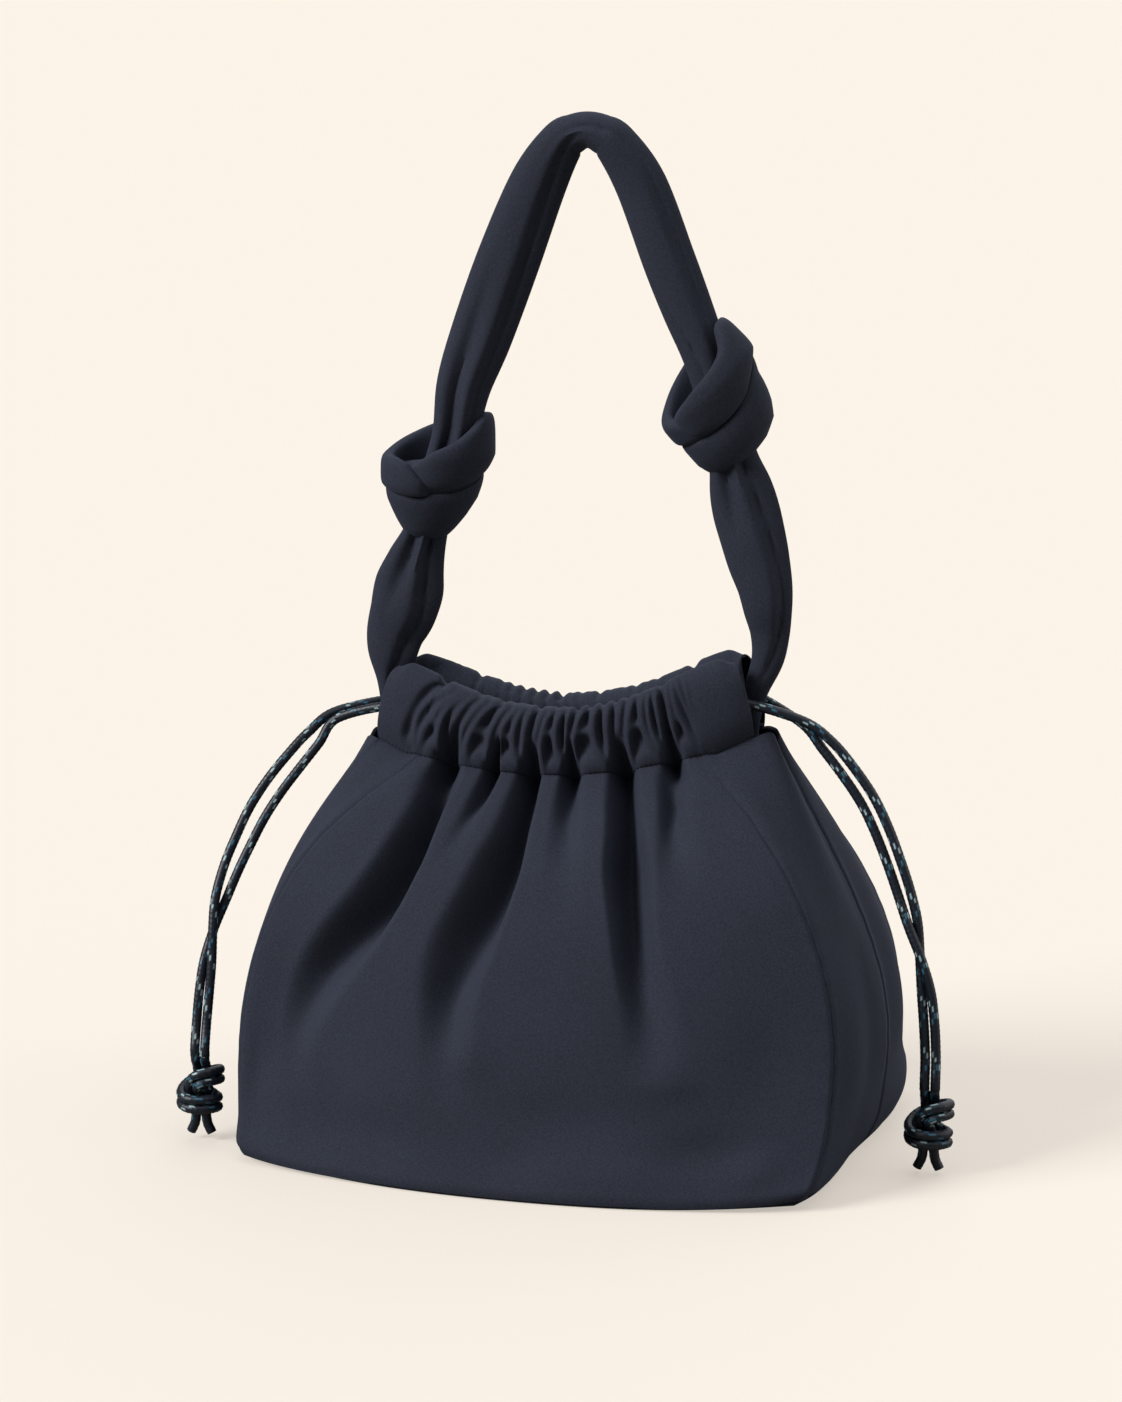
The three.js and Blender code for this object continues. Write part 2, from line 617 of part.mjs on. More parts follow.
function strapKnot(knot) {
  const steps = overhandSteps(KNOT_RADIUS_X, KNOT_RADIUS_Y, KNOT_TURN_LEVEL, KNOT_REACH, KNOT_CORE);
  const rings = knotFrames(steps, 42).map(({ at, widthWay, thickWay, turn, t }) => {
    const tail = Math.max(0, 1 - Math.min(t, 1 - t) / KNOT_TAPER);
    const halfWidth = lerp(lerp(KNOT_CORE_WIDTH, KNOT_BAND, turn), KNOT_STRAP_WIDTH, tail);
    const halfThick = lerp(lerp(KNOT_CORE_THICK, KNOT_BAND_THICK, turn), KNOT_STRAP_THICK, tail);
    return ovalRing(at, widthWay, thickWay, halfWidth, halfThick, 10);
  });
  const geometry = ringSolid(rings);
  geometry.rotateY(degToRad(knot.tilt));
  return geometry.translate(knot.x, 0, knot.z);
}

addPart('strap_arch', strapArch(), FABRIC_LOOK);
for (const [side, knot] of [['left', LEFT_KNOT], ['right', RIGHT_KNOT]]) {
  addPart(`strap_knot_${side}`, strapKnot(knot), FABRIC_LOOK);
  addPart(`strap_leg_${side}`, strapLeg(knot), FABRIC_LOOK);
  addPart(`strap_end_${side}`, strapEnd(knot), FABRIC_LOOK);
}

// Cords

const CORD_SIDES = 8;

function cordSolid(points, steps) {
  const path = new THREE.CatmullRomCurve3(points);
  const angleStep = (2 * Math.PI) / CORD_SIDES;
  const outline = [];
  for (let side = 0; side < CORD_SIDES; side += 1) {
    const angle = angleStep * (side + 0.5);
    outline.push(new THREE.Vector2(Math.cos(angle), Math.sin(angle)).multiplyScalar(CORD_DIAMETER / 2));
  }
  return new THREE.ExtrudeGeometry(new THREE.Shape(outline), { steps, extrudePath: path });
}

// Length of cord inside the gathered tunnel, at its own level.
function tunnelRun(facing, level) {
  const reach = 1 - CORD_DIAMETER / NECK_CORNER_X;
  const points = [];
  for (let step = 0; step <= 6; step += 1) {
    points.push(tunnelPoint(neckPlace(lerp(-reach, reach, step / 6), facing, 0), level, 0, 0));
  }
  return cordSolid(points, 8);
}

// Two hanging strands of one cord: they leave the two tunnel ends, come together, cross once and end
// side by side over the knot.
const STRAND_SWAY = 0.16;
const STRAND_TUCK = 0.7;
function strandPoints(route, end, facing) {
  const middle = new THREE.CatmullRomCurve3(route.map(([x, y, z]) => point(x, y, z)));
  const mouth = lerp(END_REACH_LOW, END_REACH_HIGH, CORD_EXIT_LEVEL);
  const insideAt = (place) => {
    return tunnelPoint(neckPlace(place, facing, end), CORD_EXIT_LEVEL, -STRAND_SWAY, END_HALF);
  };
  const start = insideAt(mouth);
  const inner = insideAt(mouth + 0.05);
  const outwards = start.clone().sub(inner).normalize();
  const points = [start.clone().addScaledVector(outwards, -STRAND_TUCK), start];
  const samples = 13;
  for (let sample = 1; sample < samples; sample += 1) {
    const t = sample / samples;
    const along = middle.getTangentAt(t);
    const aside = DEPTH_WAY.clone().cross(along).normalize();
    const quarterTurn = smoothstep(t, 0, 0.2) + 2 * smoothstep(t, 0.6, 0.92);
    const angle = (Math.PI / 2) * quarterTurn;
    const spread = (PAIR_SPREAD + PAIR_BELLY * Math.sin(Math.PI * Math.min(1, t * 1.4))) / 2;
    const last = lerp(spread, CORD_PAIR_SPACING / 2, smoothstep(t, 0.85, 1));
    const spot = middle.getPointAt(t);
    spot.addScaledVector(DEPTH_WAY, facing * last * Math.cos(angle));
    spot.addScaledVector(aside, facing * last * Math.sin(angle));
    points.push(spot);
  }
  const [x, y, z] = route[route.length - 1];
  const foot = point(x + facing * CORD_PAIR_SPACING / 2, y, z);
  points.push(foot.clone().add(point(0, 0, CORD_DIAMETER)), foot);
  return points;
}

// Overhand knot that both ends of a cord are tied in, side by side.
function cordKnot(route) {
  const [x, y, z] = route[route.length - 1];
  const radius = CORD_KNOT_RADIUS;
  const steps = overhandSteps(radius, radius, CORD_KNOT_TURN_LEVEL, CORD_KNOT_REACH, CORD_KNOT_CORE);
  const halfWidth = (CORD_PAIR_SPACING + CORD_DIAMETER) / 2;
  const rings = knotFrames(steps, 38).map(({ at, widthWay, thickWay }) => {
    return ovalRing(at, widthWay, thickWay, halfWidth, CORD_DIAMETER / 2, 10, PAIR_VALLEY, PAIR_VALLEY);
  });
  return ringSolid(rings).translate(x, y, z - CORD_KNOT_REACH - SEAM_GAP);
}

// Short sealed end of a strand below the knot.
function cordTail(route, facing) {
  const [x, y, z] = route[route.length - 1];
  const top = point(x + facing * CORD_PAIR_SPACING / 2, y, z - 2 * (CORD_KNOT_REACH + SEAM_GAP));
  const middle = top.clone().add(point(facing * TAIL_SPLAY / 4, 0, -TAIL_LENGTH / 2));
  const tip = top.clone().add(point(facing * TAIL_SPLAY, 0, -TAIL_LENGTH));
  return cordSolid([top, middle, tip], 3);
}

const CORDS = [
  { side: 'left', end: -1, beyond: LEFT_ROUTE, level: LEFT_CORD_LEVEL },
  { side: 'right', end: 1, beyond: RIGHT_ROUTE, level: RIGHT_CORD_LEVEL },
];
for (const { side, end, beyond, level } of CORDS) {
  const route = beyond.map(([out, y, z]) => [end * (BELLY_SIDE + out), y, z]);
  for (const [face, facing] of Object.entries(FACINGS)) {
    addPart(`${side}_cord_${face}_strand`, cordSolid(strandPoints(route, end, facing), 19), CORD_LOOK);
    addPart(`${side}_cord_${face}_run`, tunnelRun(facing, level), CORD_LOOK);
    addPart(`${side}_cord_${face}_tail`, cordTail(route, facing), CORD_LOOK);
  }
  addPart(`${side}_cord_knot`, cordKnot(route), CORD_LOOK);
}

export default pouch;
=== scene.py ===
"""Dark navy drawstring pouch with a knotted fabric handle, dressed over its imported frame.

Points are worked out in millimetres, in the frame's own axes, and become metres when a mesh is made.
"""

import math

import bmesh
import bpy
import numpy as np
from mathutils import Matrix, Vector


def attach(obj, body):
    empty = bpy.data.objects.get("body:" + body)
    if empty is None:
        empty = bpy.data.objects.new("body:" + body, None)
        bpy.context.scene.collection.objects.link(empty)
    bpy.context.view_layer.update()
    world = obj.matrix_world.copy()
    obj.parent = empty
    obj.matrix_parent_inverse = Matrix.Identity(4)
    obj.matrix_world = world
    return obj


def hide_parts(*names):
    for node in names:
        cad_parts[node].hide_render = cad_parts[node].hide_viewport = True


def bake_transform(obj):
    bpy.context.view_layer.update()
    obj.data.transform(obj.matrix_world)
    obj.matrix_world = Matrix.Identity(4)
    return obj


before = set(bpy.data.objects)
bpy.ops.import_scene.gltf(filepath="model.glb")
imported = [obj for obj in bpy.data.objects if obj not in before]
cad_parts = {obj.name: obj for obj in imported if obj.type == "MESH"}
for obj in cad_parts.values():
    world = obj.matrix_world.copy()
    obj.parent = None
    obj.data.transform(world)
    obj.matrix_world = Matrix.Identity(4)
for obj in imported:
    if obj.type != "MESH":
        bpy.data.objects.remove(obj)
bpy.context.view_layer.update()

# Camera and studio. The photograph looks from 15 degrees to the right and 12 degrees above, with a long
# lens. A soft key light comes from the front left and a wide one from above, with two weak fills. A matte
# cream floor lies under the bag, and the world behind it shows the same cream.
AZIMUTH, ELEVATION, DISTANCE = math.radians(15), math.radians(12), 1.56
AIM = Vector((-0.004, 0.0, 0.191))
FOCAL_PIXELS, IMAGE_HEIGHT, SENSOR = 3600, 1402, 36.0
FLOOR_COLOUR, BOUNCE_COLOUR = "#fcf3e8", "#8a857d"
FLOOR_REACH, FLOOR_GLOW, SKY_LIGHT, FAR_CLIP = 40.0, 0.52, 0.07, 200


def linear(colour):
    """Linear RGBA of an sRGB hex colour."""
    channels = [int(colour[at:at + 2], 16) / 255 for at in (1, 3, 5)]
    return [c / 12.92 if c <= 0.04045 else ((c + 0.055) / 1.055) ** 2.4 for c in channels] + [1.0]


def add_node(tree, kind, settings=None, links=None):
    """Shader node of a kind with its settings and incoming links. A number as a key is the input's place."""
    made = tree.nodes.new("ShaderNode" + kind)
    for key, value in (settings or {}).items():
        if isinstance(key, int) or key in made.inputs:
            made.inputs[key].default_value = value
        else:
            setattr(made, key, value)
    for key, source in (links or {}).items():
        tree.links.new(source, made.inputs[key])
    return made


def new_material(name):
    """Material without any nodes, and its node tree."""
    material = bpy.data.materials.new(name)
    material.use_nodes = True
    material.node_tree.nodes.clear()
    return material, material.node_tree


def colour_mix(tree, dark, light, share):
    """Mix of two colours by a share."""
    made = add_node(tree, "Mix", {"data_type": "RGBA", 6: linear(dark), 7: linear(light)}, {0: share})
    return made.outputs[2]


def camera_mix(tree, plain, shown, most):
    """Mix of two shaders, the second one for the camera alone and only up to a share."""
    seen = add_node(tree, "LightPath").outputs["Is Camera Ray"]
    share = add_node(tree, "Math", {"operation": "MULTIPLY", 1: most}, {0: seen})
    made = add_node(
        tree, "MixShader", links={0: share.outputs[0], 1: plain.outputs[0], 2: shown.outputs[0]})
    return made.outputs["Shader"]


camera = bpy.data.objects.new("camera", bpy.data.cameras.new("camera"))
bpy.context.collection.objects.link(camera)
towards_camera = Vector((
    math.sin(AZIMUTH) * math.cos(ELEVATION),
    -math.cos(AZIMUTH) * math.cos(ELEVATION),
    math.sin(ELEVATION),
))
camera.location = AIM + towards_camera * DISTANCE
camera.rotation_euler = towards_camera.to_track_quat("Z", "Y").to_euler()
camera.data.sensor_fit = "VERTICAL"
camera.data.sensor_height = SENSOR
camera.data.lens = FOCAL_PIXELS * SENSOR / IMAGE_HEIGHT
camera.data.clip_end = FAR_CLIP
bpy.context.scene.camera = camera
bpy.context.scene.view_settings.view_transform = "Standard"

sky = bpy.data.worlds.new("sky")
sky.use_nodes = True
sky.node_tree.nodes.clear()
sky_light = add_node(sky.node_tree, "Background", {"Color": linear("#ffffff"), "Strength": SKY_LIGHT})
sky_shown = add_node(sky.node_tree, "Background", {"Color": linear(FLOOR_COLOUR), "Strength": 1.0})
sky_shader = camera_mix(sky.node_tree, sky_light, sky_shown, 1.0)
add_node(sky.node_tree, "OutputWorld", links={"Surface": sky_shader})
bpy.context.scene.world = sky

LAMPS = {
    # strength, spread in degrees and the way the light comes from
    "key_light": (2.55, 26, (-0.74, -0.55, 0.58)), "overhead_light": (1.15, 90, (0.2, 0.1, 1.0)),
    "side_fill": (0.5, 40, (0.92, 0.22, 0.3)), "back_fill": (0.8, 70, (0.1, 0.9, 0.4)),
}
for name, (strength, spread, way) in LAMPS.items():
    lamp = bpy.data.objects.new(name, bpy.data.lights.new(name, "SUN"))
    bpy.context.collection.objects.link(lamp)
    lamp.data.energy = strength
    lamp.data.angle = math.radians(spread)
    lamp.rotation_euler = Vector(way).to_track_quat("Z", "Y").to_euler()

# Matte paper. It glows a little for the camera alone, so that it stays pale and still takes a soft shadow.
floor_material, floor_tree = new_material("floor")
floor_seen = add_node(floor_tree, "LightPath").outputs["Is Camera Ray"]
floor_colour = colour_mix(floor_tree, BOUNCE_COLOUR, FLOOR_COLOUR, floor_seen)
floor_lit = add_node(floor_tree, "BsdfDiffuse", links={"Color": floor_colour})
floor_glow = add_node(floor_tree, "Emission", {"Color": linear(FLOOR_COLOUR), "Strength": 1.0})
floor_shader = camera_mix(floor_tree, floor_lit, floor_glow, FLOOR_GLOW)
add_node(floor_tree, "OutputMaterial", links={"Surface": floor_shader})
floor_mesh = bpy.data.meshes.new("floor")
floor_shape = bmesh.new()
bmesh.ops.create_grid(floor_shape, x_segments=1, y_segments=1, size=FLOOR_REACH)
floor_shape.to_mesh(floor_mesh)
floor_shape.free()
floor = bpy.data.objects.new("floor", floor_mesh)
floor_mesh.materials.append(floor_material)
bpy.context.collection.objects.link(floor)


# Drawcords. Two 4 mm braided cords with pale tracer threads. Each runs through the front and the rear of
# the tunnel and leaves it by the slit at its own side, where its two ends hang, cross once and are
# knotted together.
FACES = {"front": -1, "rear": 1}
CORD_RADIUS, CORD_FIBRE, CORD_SIDES = 2.15, 0.385, 20
CARRIERS, BRAID_LAY, BRAID_LOW, BRAID_RELIEF, TWIN_SHIFT = 5, 4.4, 0.97, 0.05, 1.3
CORD_DARK, CORD_BLUE, CORD_PALE = "#151e2b", "#3f7f9c", "#b9dbe2"
PAIR_SPACING, PAIR_OPENING, KNOT_SQUEEZE = 4.6, {"left": 3.6, "right": 1.6}, 0.9
STRAND_TUCK, STRAND_SAMPLES = (9.0, 3.6, -2.0), 13
KNOT_RADIUS, KNOT_LEVEL, KNOT_CORE, KNOT_REACH, KNOT_GAP = 8.6, 5.4, 2.6, 13.0, 0.3
TAIL_LENGTH, TAIL_SPLAY = 8.0, 2.5
CREASE = 50
CORD_ROUTES = {
    "left": [
        (-93, -1, 186.4), (-102, -4, 182.6), (-114.5, -12, 169.5), (-131, -25, 146), (-140.5, -35, 124),
        (-145.5, -43, 106.5), (-148.5, -50, 87), (-150, -55, 68), (-150.5, -60, 48), (-149.8, -63.5, 38),
    ],
    "right": [
        (91, -1, 194.6), (99, -2, 191), (115, -3, 177.7), (132, -5, 156.5), (142, -8, 137),
        (150.5, -11, 115.5), (157, -15, 95), (161.5, -18, 74), (164, -22, 52), (164.6, -25.5, 37),
    ],
}
CORD_EXITS = {"left": (-80.3, 9.1, 186.4), "right": (80.3, 9.1, 196.2)}


def smoothstep(value, low, high):
    """Share from 0 to 1 that starts and ends gently."""
    t = np.clip((value - low) / (high - low), 0, 1)
    return t * t * (3 - 2 * t)


def lengths_along(line):
    """Distance along a line at each of its points."""
    return np.concatenate([[0], np.cumsum(np.linalg.norm(np.diff(line, axis=0), axis=1))])


def smooth_line(points, step, extra=None):
    """Smooth line through the points at even steps, with extra values carried along it."""
    p = np.asarray(points, float)
    if extra is not None:
        p = np.hstack([p, np.asarray(extra, float).reshape(len(p), -1)])
    p = np.vstack([2 * p[0] - p[1], p, 2 * p[-1] - p[-2]])
    t = np.linspace(0, 1, 24, endpoint=False)[:, None]
    spans = []
    for a, b, c, d in zip(p[:-3], p[1:-2], p[2:-1], p[3:]):
        spans.append(0.5 * (2 * b + (c - a) * t + (2 * a - 5 * b + 4 * c - d) * t ** 2
                            + (3 * b - a - 3 * c + d) * t ** 3))
    line = np.vstack(spans + [p[-2:-1]])
    along = lengths_along(line[:, :3])
    at = np.linspace(0, along[-1], max(2, round(along[-1] / step)) + 1)
    return np.stack([np.interp(at, along, line[:, k]) for k in range(line.shape[1])], -1)


def unit(vectors):
    """Vectors at a length of one."""
    return vectors / np.linalg.norm(vectors, axis=-1, keepdims=True)


def grid_faces(rows, columns, wrap=False, first=0):
    """Quads over a grid of points. A wrapped grid's last column joins its first."""
    row, column = np.meshgrid(np.arange(rows - 1), np.arange(columns if wrap else columns - 1), indexing="ij")
    after = (column + 1) % columns
    corners = [row * columns + column, row * columns + after]
    corners += [(row + 1) * columns + after, (row + 1) * columns + column]
    return (np.stack(corners, -1).reshape(-1, 4) + first).tolist()


def new_piece(name, points, faces, material):
    """Smooth mesh piece with its faces turned outwards, from points in millimetres."""
    mesh = bpy.data.meshes.new(name)
    mesh.from_pydata((np.asarray(points).reshape(-1, 3) * 0.001).tolist(), [], faces)
    shape = bmesh.new()
    shape.from_mesh(mesh)
    bmesh.ops.recalc_face_normals(shape, faces=shape.faces)
    shape.to_mesh(mesh)
    shape.free()
    mesh.polygons.foreach_set("use_smooth", [True] * len(mesh.polygons))
    mesh.set_sharp_from_angle(angle=math.radians(CREASE))
    mesh.materials.append(material)
    piece = bpy.data.objects.new(name, mesh)
    bpy.context.collection.objects.link(piece)
    return piece


def rings_faces(rings, sides):
    """Faces of a closed run of rings, with a flat cap at each end."""
    last = (rings - 1) * sides
    caps = [list(range(sides)), list(range(last, last + sides))]
    return grid_faces(rings, sides, wrap=True) + caps


def carried_ways(line, way):
    """A sideways direction carried along a line without twist."""
    tangents = unit(np.gradient(line, axis=0))
    ways = np.empty_like(line)
    for at, tangent in enumerate(tangents):
        way = way - tangent * np.dot(way, tangent)
        way = way / np.linalg.norm(way)
        ways[at] = way
    return tangents, ways


def braided_tube(line, start_length):
    """Points, faces and colours of a braided cord along a line. Its threads wind both ways round."""
    tangents, ways = carried_ways(line, np.array([0.0, 1.0, 0.13]))
    across = np.cross(tangents, ways)
    along = start_length + lengths_along(line)
    angle = np.arange(CORD_SIDES) * 2 * math.pi / CORD_SIDES
    forward = CARRIERS * angle[None, :] / (2 * math.pi) + along[:, None] / BRAID_LAY
    backward = CARRIERS * angle[None, :] / (2 * math.pi) - along[:, None] / BRAID_LAY
    relief = np.cos(2 * math.pi * forward) * np.cos(2 * math.pi * backward)
    radius = CORD_RADIUS * (BRAID_LOW + BRAID_RELIEF * relief)
    points = line[:, None, :] + radius[..., None] * (
        ways[:, None, :] * np.cos(angle)[None, :, None] + across[:, None, :] * np.sin(angle)[None, :, None])
    step_f, step_b = np.floor(forward * 2).astype(int), np.floor(backward * 2).astype(int)
    shown = (step_f * 7 + step_b * 3) % 5 < 2
    pale = (step_f % 10 == 1) & shown
    blue = (step_b % 10 == 4) & shown
    colours = np.broadcast_to(np.array(linear(CORD_DARK)), radius.shape + (4,)).copy()
    colours[blue] = linear(CORD_BLUE)
    colours[pale] = linear(CORD_PALE)
    return points.reshape(-1, 3), rings_faces(len(line), CORD_SIDES), colours.reshape(-1, 4)


def cord_piece(name, lines, material):
    """One piece of braided cord, of one line or of several that belong together."""
    points, faces, colours = [], [], []
    for number, line in enumerate(lines):
        p, f, c = braided_tube(line, start_length=TWIN_SHIFT * number)
        first = sum(len(part) for part in points)
        points.append(p)
        faces += [[corner + first for corner in face] for face in f]
        colours.append(c)
    piece = new_piece(name, np.vstack(points), faces, material)
    tracer = piece.data.color_attributes.new("tracer", "FLOAT_COLOR", "POINT")
    tracer.data.foreach_set("color", np.vstack(colours).astype(np.float32).ravel())
    return piece


def strand_line(side, facing):
    """Line of one hanging strand: out of its tunnel end, beside its twin, across it and down to the knot."""
    route = np.array(CORD_ROUTES[side], float)
    x, y, z = CORD_EXITS[side]
    exit_point = np.array([x, facing * y, z])
    tuck_x, tuck_y, tuck_z = STRAND_TUCK
    inside = exit_point + np.array([-math.copysign(tuck_x, x), facing * tuck_y, tuck_z])
    middle = smooth_line(route, 1.0)
    tangents = unit(np.gradient(middle, axis=0))
    points = [inside, exit_point]
    for sample in range(1, STRAND_SAMPLES):
        t = sample / STRAND_SAMPLES
        at = round(t * (len(middle) - 1))
        aside = unit(np.cross([0.0, 1.0, 0.0], tangents[at]))
        angle = math.pi / 2 * (smoothstep(t, 0, 0.2) + 2 * smoothstep(t, 0.5, 0.85))
        spread = (PAIR_SPACING + PAIR_OPENING[side] * math.sin(math.pi * min(1, t * 1.5))) / 2
        spread += (PAIR_SPACING / 2 - spread) * smoothstep(t, 0.85, 1)
        points.append(middle[at] + facing * spread * (
            math.cos(angle) * np.array([0.0, 1.0, 0.0]) + math.sin(angle) * aside))
    foot = route[-1] + np.array([facing * PAIR_SPACING / 2, 0, 0])
    points += [foot + np.array([0, 0, 4.0]), foot]
    return smooth_line(points, 0.6), exit_point


def overhand_line(radius, level, reach, core):
    """Middle line of a doubled overhand knot about its own upright axis, with the way its pair lies."""
    steps = [
        (0, 0, reach, 1, 0), (0, 0, reach * 0.88, 1, 0), (0, core * 0.7, reach * 0.62, 1, 0),
        (0, core, reach * 0.3, 1, 0), (0, core, 0, 1, 0), (core * 0.5, core * 1.1, -level * 0.75, 0.8, 0.3),
        (radius * 0.55, core * 1.2, -level * 1.22, 0.3, 0.7),
    ]
    rises = [-1.2, -1.18, -1.16, -1.14, -1.04, -0.78, -0.4, 0.02, 0.45, 0.8, 1.02, 1.12, 1.08]
    for number, rise in enumerate(rises):
        angle = math.radians(80 - 35 * number if number < 12 else -332)
        steps.append((radius * math.sin(angle), -radius * math.cos(angle), level * rise, 0, 1))
    steps += [
        (radius * 0.1, -radius * 0.9, level * 0.8, -0.22, 0.78),
        (-radius * 0.12, -radius * 0.7, level * 0.3, -0.5, 0.5),
        (-radius * 0.16, -core * 1.5, -level * 0.2, -0.8, 0.2), (-radius * 0.08, -core, -level * 0.8, -1, 0),
        (0, -core, -reach * 0.45, -1, 0), (0, -core * 0.5, -reach * 0.7, -1, 0),
        (0, 0, -reach * 0.9, -1, 0), (0, 0, -reach, -1, 0),
    ]
    steps = np.array(steps, float)
    line = smooth_line(steps[:, :3], 0.5, steps[:, 3:])
    middle = line[:, :3]
    tangents = unit(np.gradient(middle, axis=0))
    pair_way = np.stack([line[:, 3], np.zeros(len(line)), line[:, 4]], -1)
    pair_way -= tangents * np.sum(pair_way * tangents, axis=-1, keepdims=True)
    return middle, unit(pair_way)


def grain(tree, size, detail, roughness=0.5):
    """Noise with patches of a size in millimetres."""
    place = add_node(tree, "TexCoord").outputs["Object"]
    settings = {"Scale": 1000 / size, "Detail": detail, "Roughness": roughness}
    return add_node(tree, "TexNoise", settings, {"Vector": place}).outputs[0]


def relief(tree, height, strength, depth):
    """Normals of a fine relief with a depth in millimetres."""
    settings = {"Strength": strength, "Distance": depth * 0.001}
    return add_node(tree, "Bump", settings, {"Height": height}).outputs["Normal"]


def surface(tree, settings, colour, normal):
    """Surface shader of a material, joined to its output."""
    shader = add_node(tree, "BsdfPrincipled", settings, {"Base Color": colour, "Normal": normal})
    add_node(tree, "OutputMaterial", links={"Surface": shader.outputs["BSDF"]})


# Braided polyester, slightly shiny. The mesh has the braid's relief and an attribute its tracer threads. The
# fibre grain is drawn coarser than real fibres, so that it shows.
cord_material, cord_tree = new_material("braided_cord")
tracer_colour = add_node(cord_tree, "VertexColor", {"layer_name": "tracer"}).outputs["Color"]
fibre_relief = relief(cord_tree, grain(cord_tree, CORD_FIBRE, 2.0), 0.35, 0.2)
surface(cord_tree, {"Roughness": 0.42, "Specular IOR Level": 0.55}, tracer_colour, fibre_relief)

for side in CORD_ROUTES:
    body = side + "_cord"
    knot_top = np.array(CORD_ROUTES[side][-1], float)
    knot_middle, pair_way = overhand_line(KNOT_RADIUS, KNOT_LEVEL, KNOT_REACH, KNOT_CORE)
    knot_middle = knot_middle + knot_top - np.array([0, 0, KNOT_REACH + KNOT_GAP])
    knot_lines = [knot_middle + facing * PAIR_SPACING / 2 * KNOT_SQUEEZE * pair_way for facing in (-1, 1)]
    knot = cord_piece(side + "_end_knot", knot_lines, cord_material)
    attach(knot, body)
    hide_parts(side + "_cord_knot")
    for face, facing in FACES.items():
        top = knot_top + np.array([facing * PAIR_SPACING / 2, 0, -2 * (KNOT_REACH + KNOT_GAP)])
        bend = top + np.array([facing * TAIL_SPLAY / 4, 0, -TAIL_LENGTH / 2])
        tip = top + np.array([facing * TAIL_SPLAY, 0, -TAIL_LENGTH])
        tail_line = smooth_line([top + np.array([0, 0, 2.0]), top, bend, tip], 0.6)
        tail = cord_piece(f"{side}_tail_{face}", [tail_line], cord_material)
        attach(tail, body)
        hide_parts(f"{side}_cord_{face}_tail")
        line, exit_point = strand_line(side, facing)
        strand = cord_piece(f"{side}_strand_{face}", [line], cord_material)
        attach(strand, body)
        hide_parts(f"{side}_cord_{face}_strand")


# Base. A panel of the same cloth, coloured darker than the body as painted shade for the gap under the foot,
# sewn to the foot of the body all round, so that only its edge shows. A stiff pressed board lies loose on it
# and keeps it flat.
BASE_PAINTED_SHADE_DARK, BASE_PAINTED_SHADE_LIGHT, CLOTH_SHEEN = "#1c1f27", "#242832", "#7584a8"
BOARD_DARK, BOARD_LIGHT = "#5d554b", "#7a7064"
NAP_SIZE, DRIFT_SIZE, TWILL_RIB, BOARD_FIBRE = 0.769, 45.5, 0.854, 2.38
NECK_EDGE, BELLY_HEIGHT, SKIRT = 160.2, 52.0, 1.4
NECK_SIDE, NECK_CORNER, NECK_DEPTH, NECK_BOW = 92.0, 62.0, 19.5, 1.5
NECK_RISE, NECK_TILT, SLIT_DIP, SLIT_REACH, SIDE_ROUND = 20.5, 0.06, 9.0, 0.6, 2.5
LEFT_SLUMP, RIGHT_SWELL, REAR_FOOT_OUT, FRONT_FOOT_OUT = 2.6, 3.0, 8.6, 6.0
BASE_X, BASE_Y, FOOT_Y, HALF_GIRTH, CORNER_TUCK, CORNER_RAISE = 125, 84, 88, 130, 5, 2.4
# inset and height of each ring round the edge of the base
BASE_EDGE = ((6, 0.0), (2.6, 0.0), (1.5, 0.6), (1.1, 1.4), (1.8, 2.2), (5, 2.6))
PROFILES = {
    # half size at the base, the belly and the neck, fullness above the belly, and whether it leans in
    "side": (129, 141, NECK_SIDE, 0.40, False), "corner_x": (BASE_X, 131.7, NECK_CORNER, 0.71, False),
    "corner_y": (BASE_Y, 69, NECK_DEPTH, 0.77, True), "front": (102, 91, NECK_DEPTH + NECK_BOW, 0.67, True),
}


def cloth_material(name, dark, light):
    """Matte brushed microfibre: a speckled nap over a faint twill, both drawn coarse enough to show."""
    material, tree = new_material(name)
    nap, drift = grain(tree, NAP_SIZE, 3.0, 0.65), grain(tree, DRIFT_SIZE, 2.0)
    speckle = add_node(tree, "MapRange", {"From Min": 0.32, "From Max": 0.68}, {"Value": nap})
    wander = add_node(
        tree, "MapRange", {"From Min": 0.3, "From Max": 0.7, "To Min": -0.14, "To Max": 0.14},
        {"Value": drift})
    share = add_node(
        tree, "Math", {"operation": "ADD", "use_clamp": True},
        {0: speckle.outputs[0], 1: wander.outputs[0]})
    # A diagonal wave turns by ten for each unit along x and along z, so the front gets one band to a rib.
    rib_scale = 2 * math.pi / (10 * math.sqrt(2) * TWILL_RIB * 0.001)
    twill = add_node(
        tree, "TexWave",
        {"Scale": rib_scale, "Distortion": 1.2, "Detail": 1.0, "bands_direction": "DIAGONAL"},
        {"Vector": add_node(tree, "TexCoord").outputs["Object"]})
    weave = add_node(
        tree, "Math", {"operation": "MULTIPLY_ADD", 1: 0.25}, {0: twill.outputs["Fac"], 2: nap})
    settings = {
        "Roughness": 0.86, "Specular IOR Level": 0.25,
        "Sheen Weight": 0.16, "Sheen Roughness": 0.45, "Sheen Tint": linear(CLOTH_SHEEN),
    }
    colour = colour_mix(tree, dark, light, share.outputs[0])
    surface(tree, settings, colour, relief(tree, weave.outputs[0], 0.3, 0.25))
    return material


def bezier(a, b, c, d, t):
    """Cubic curve from a to d, led by b and c."""
    u = 1 - t
    return u ** 3 * a + 3 * u * u * t * b + 3 * u * t * t * c + t ** 3 * d


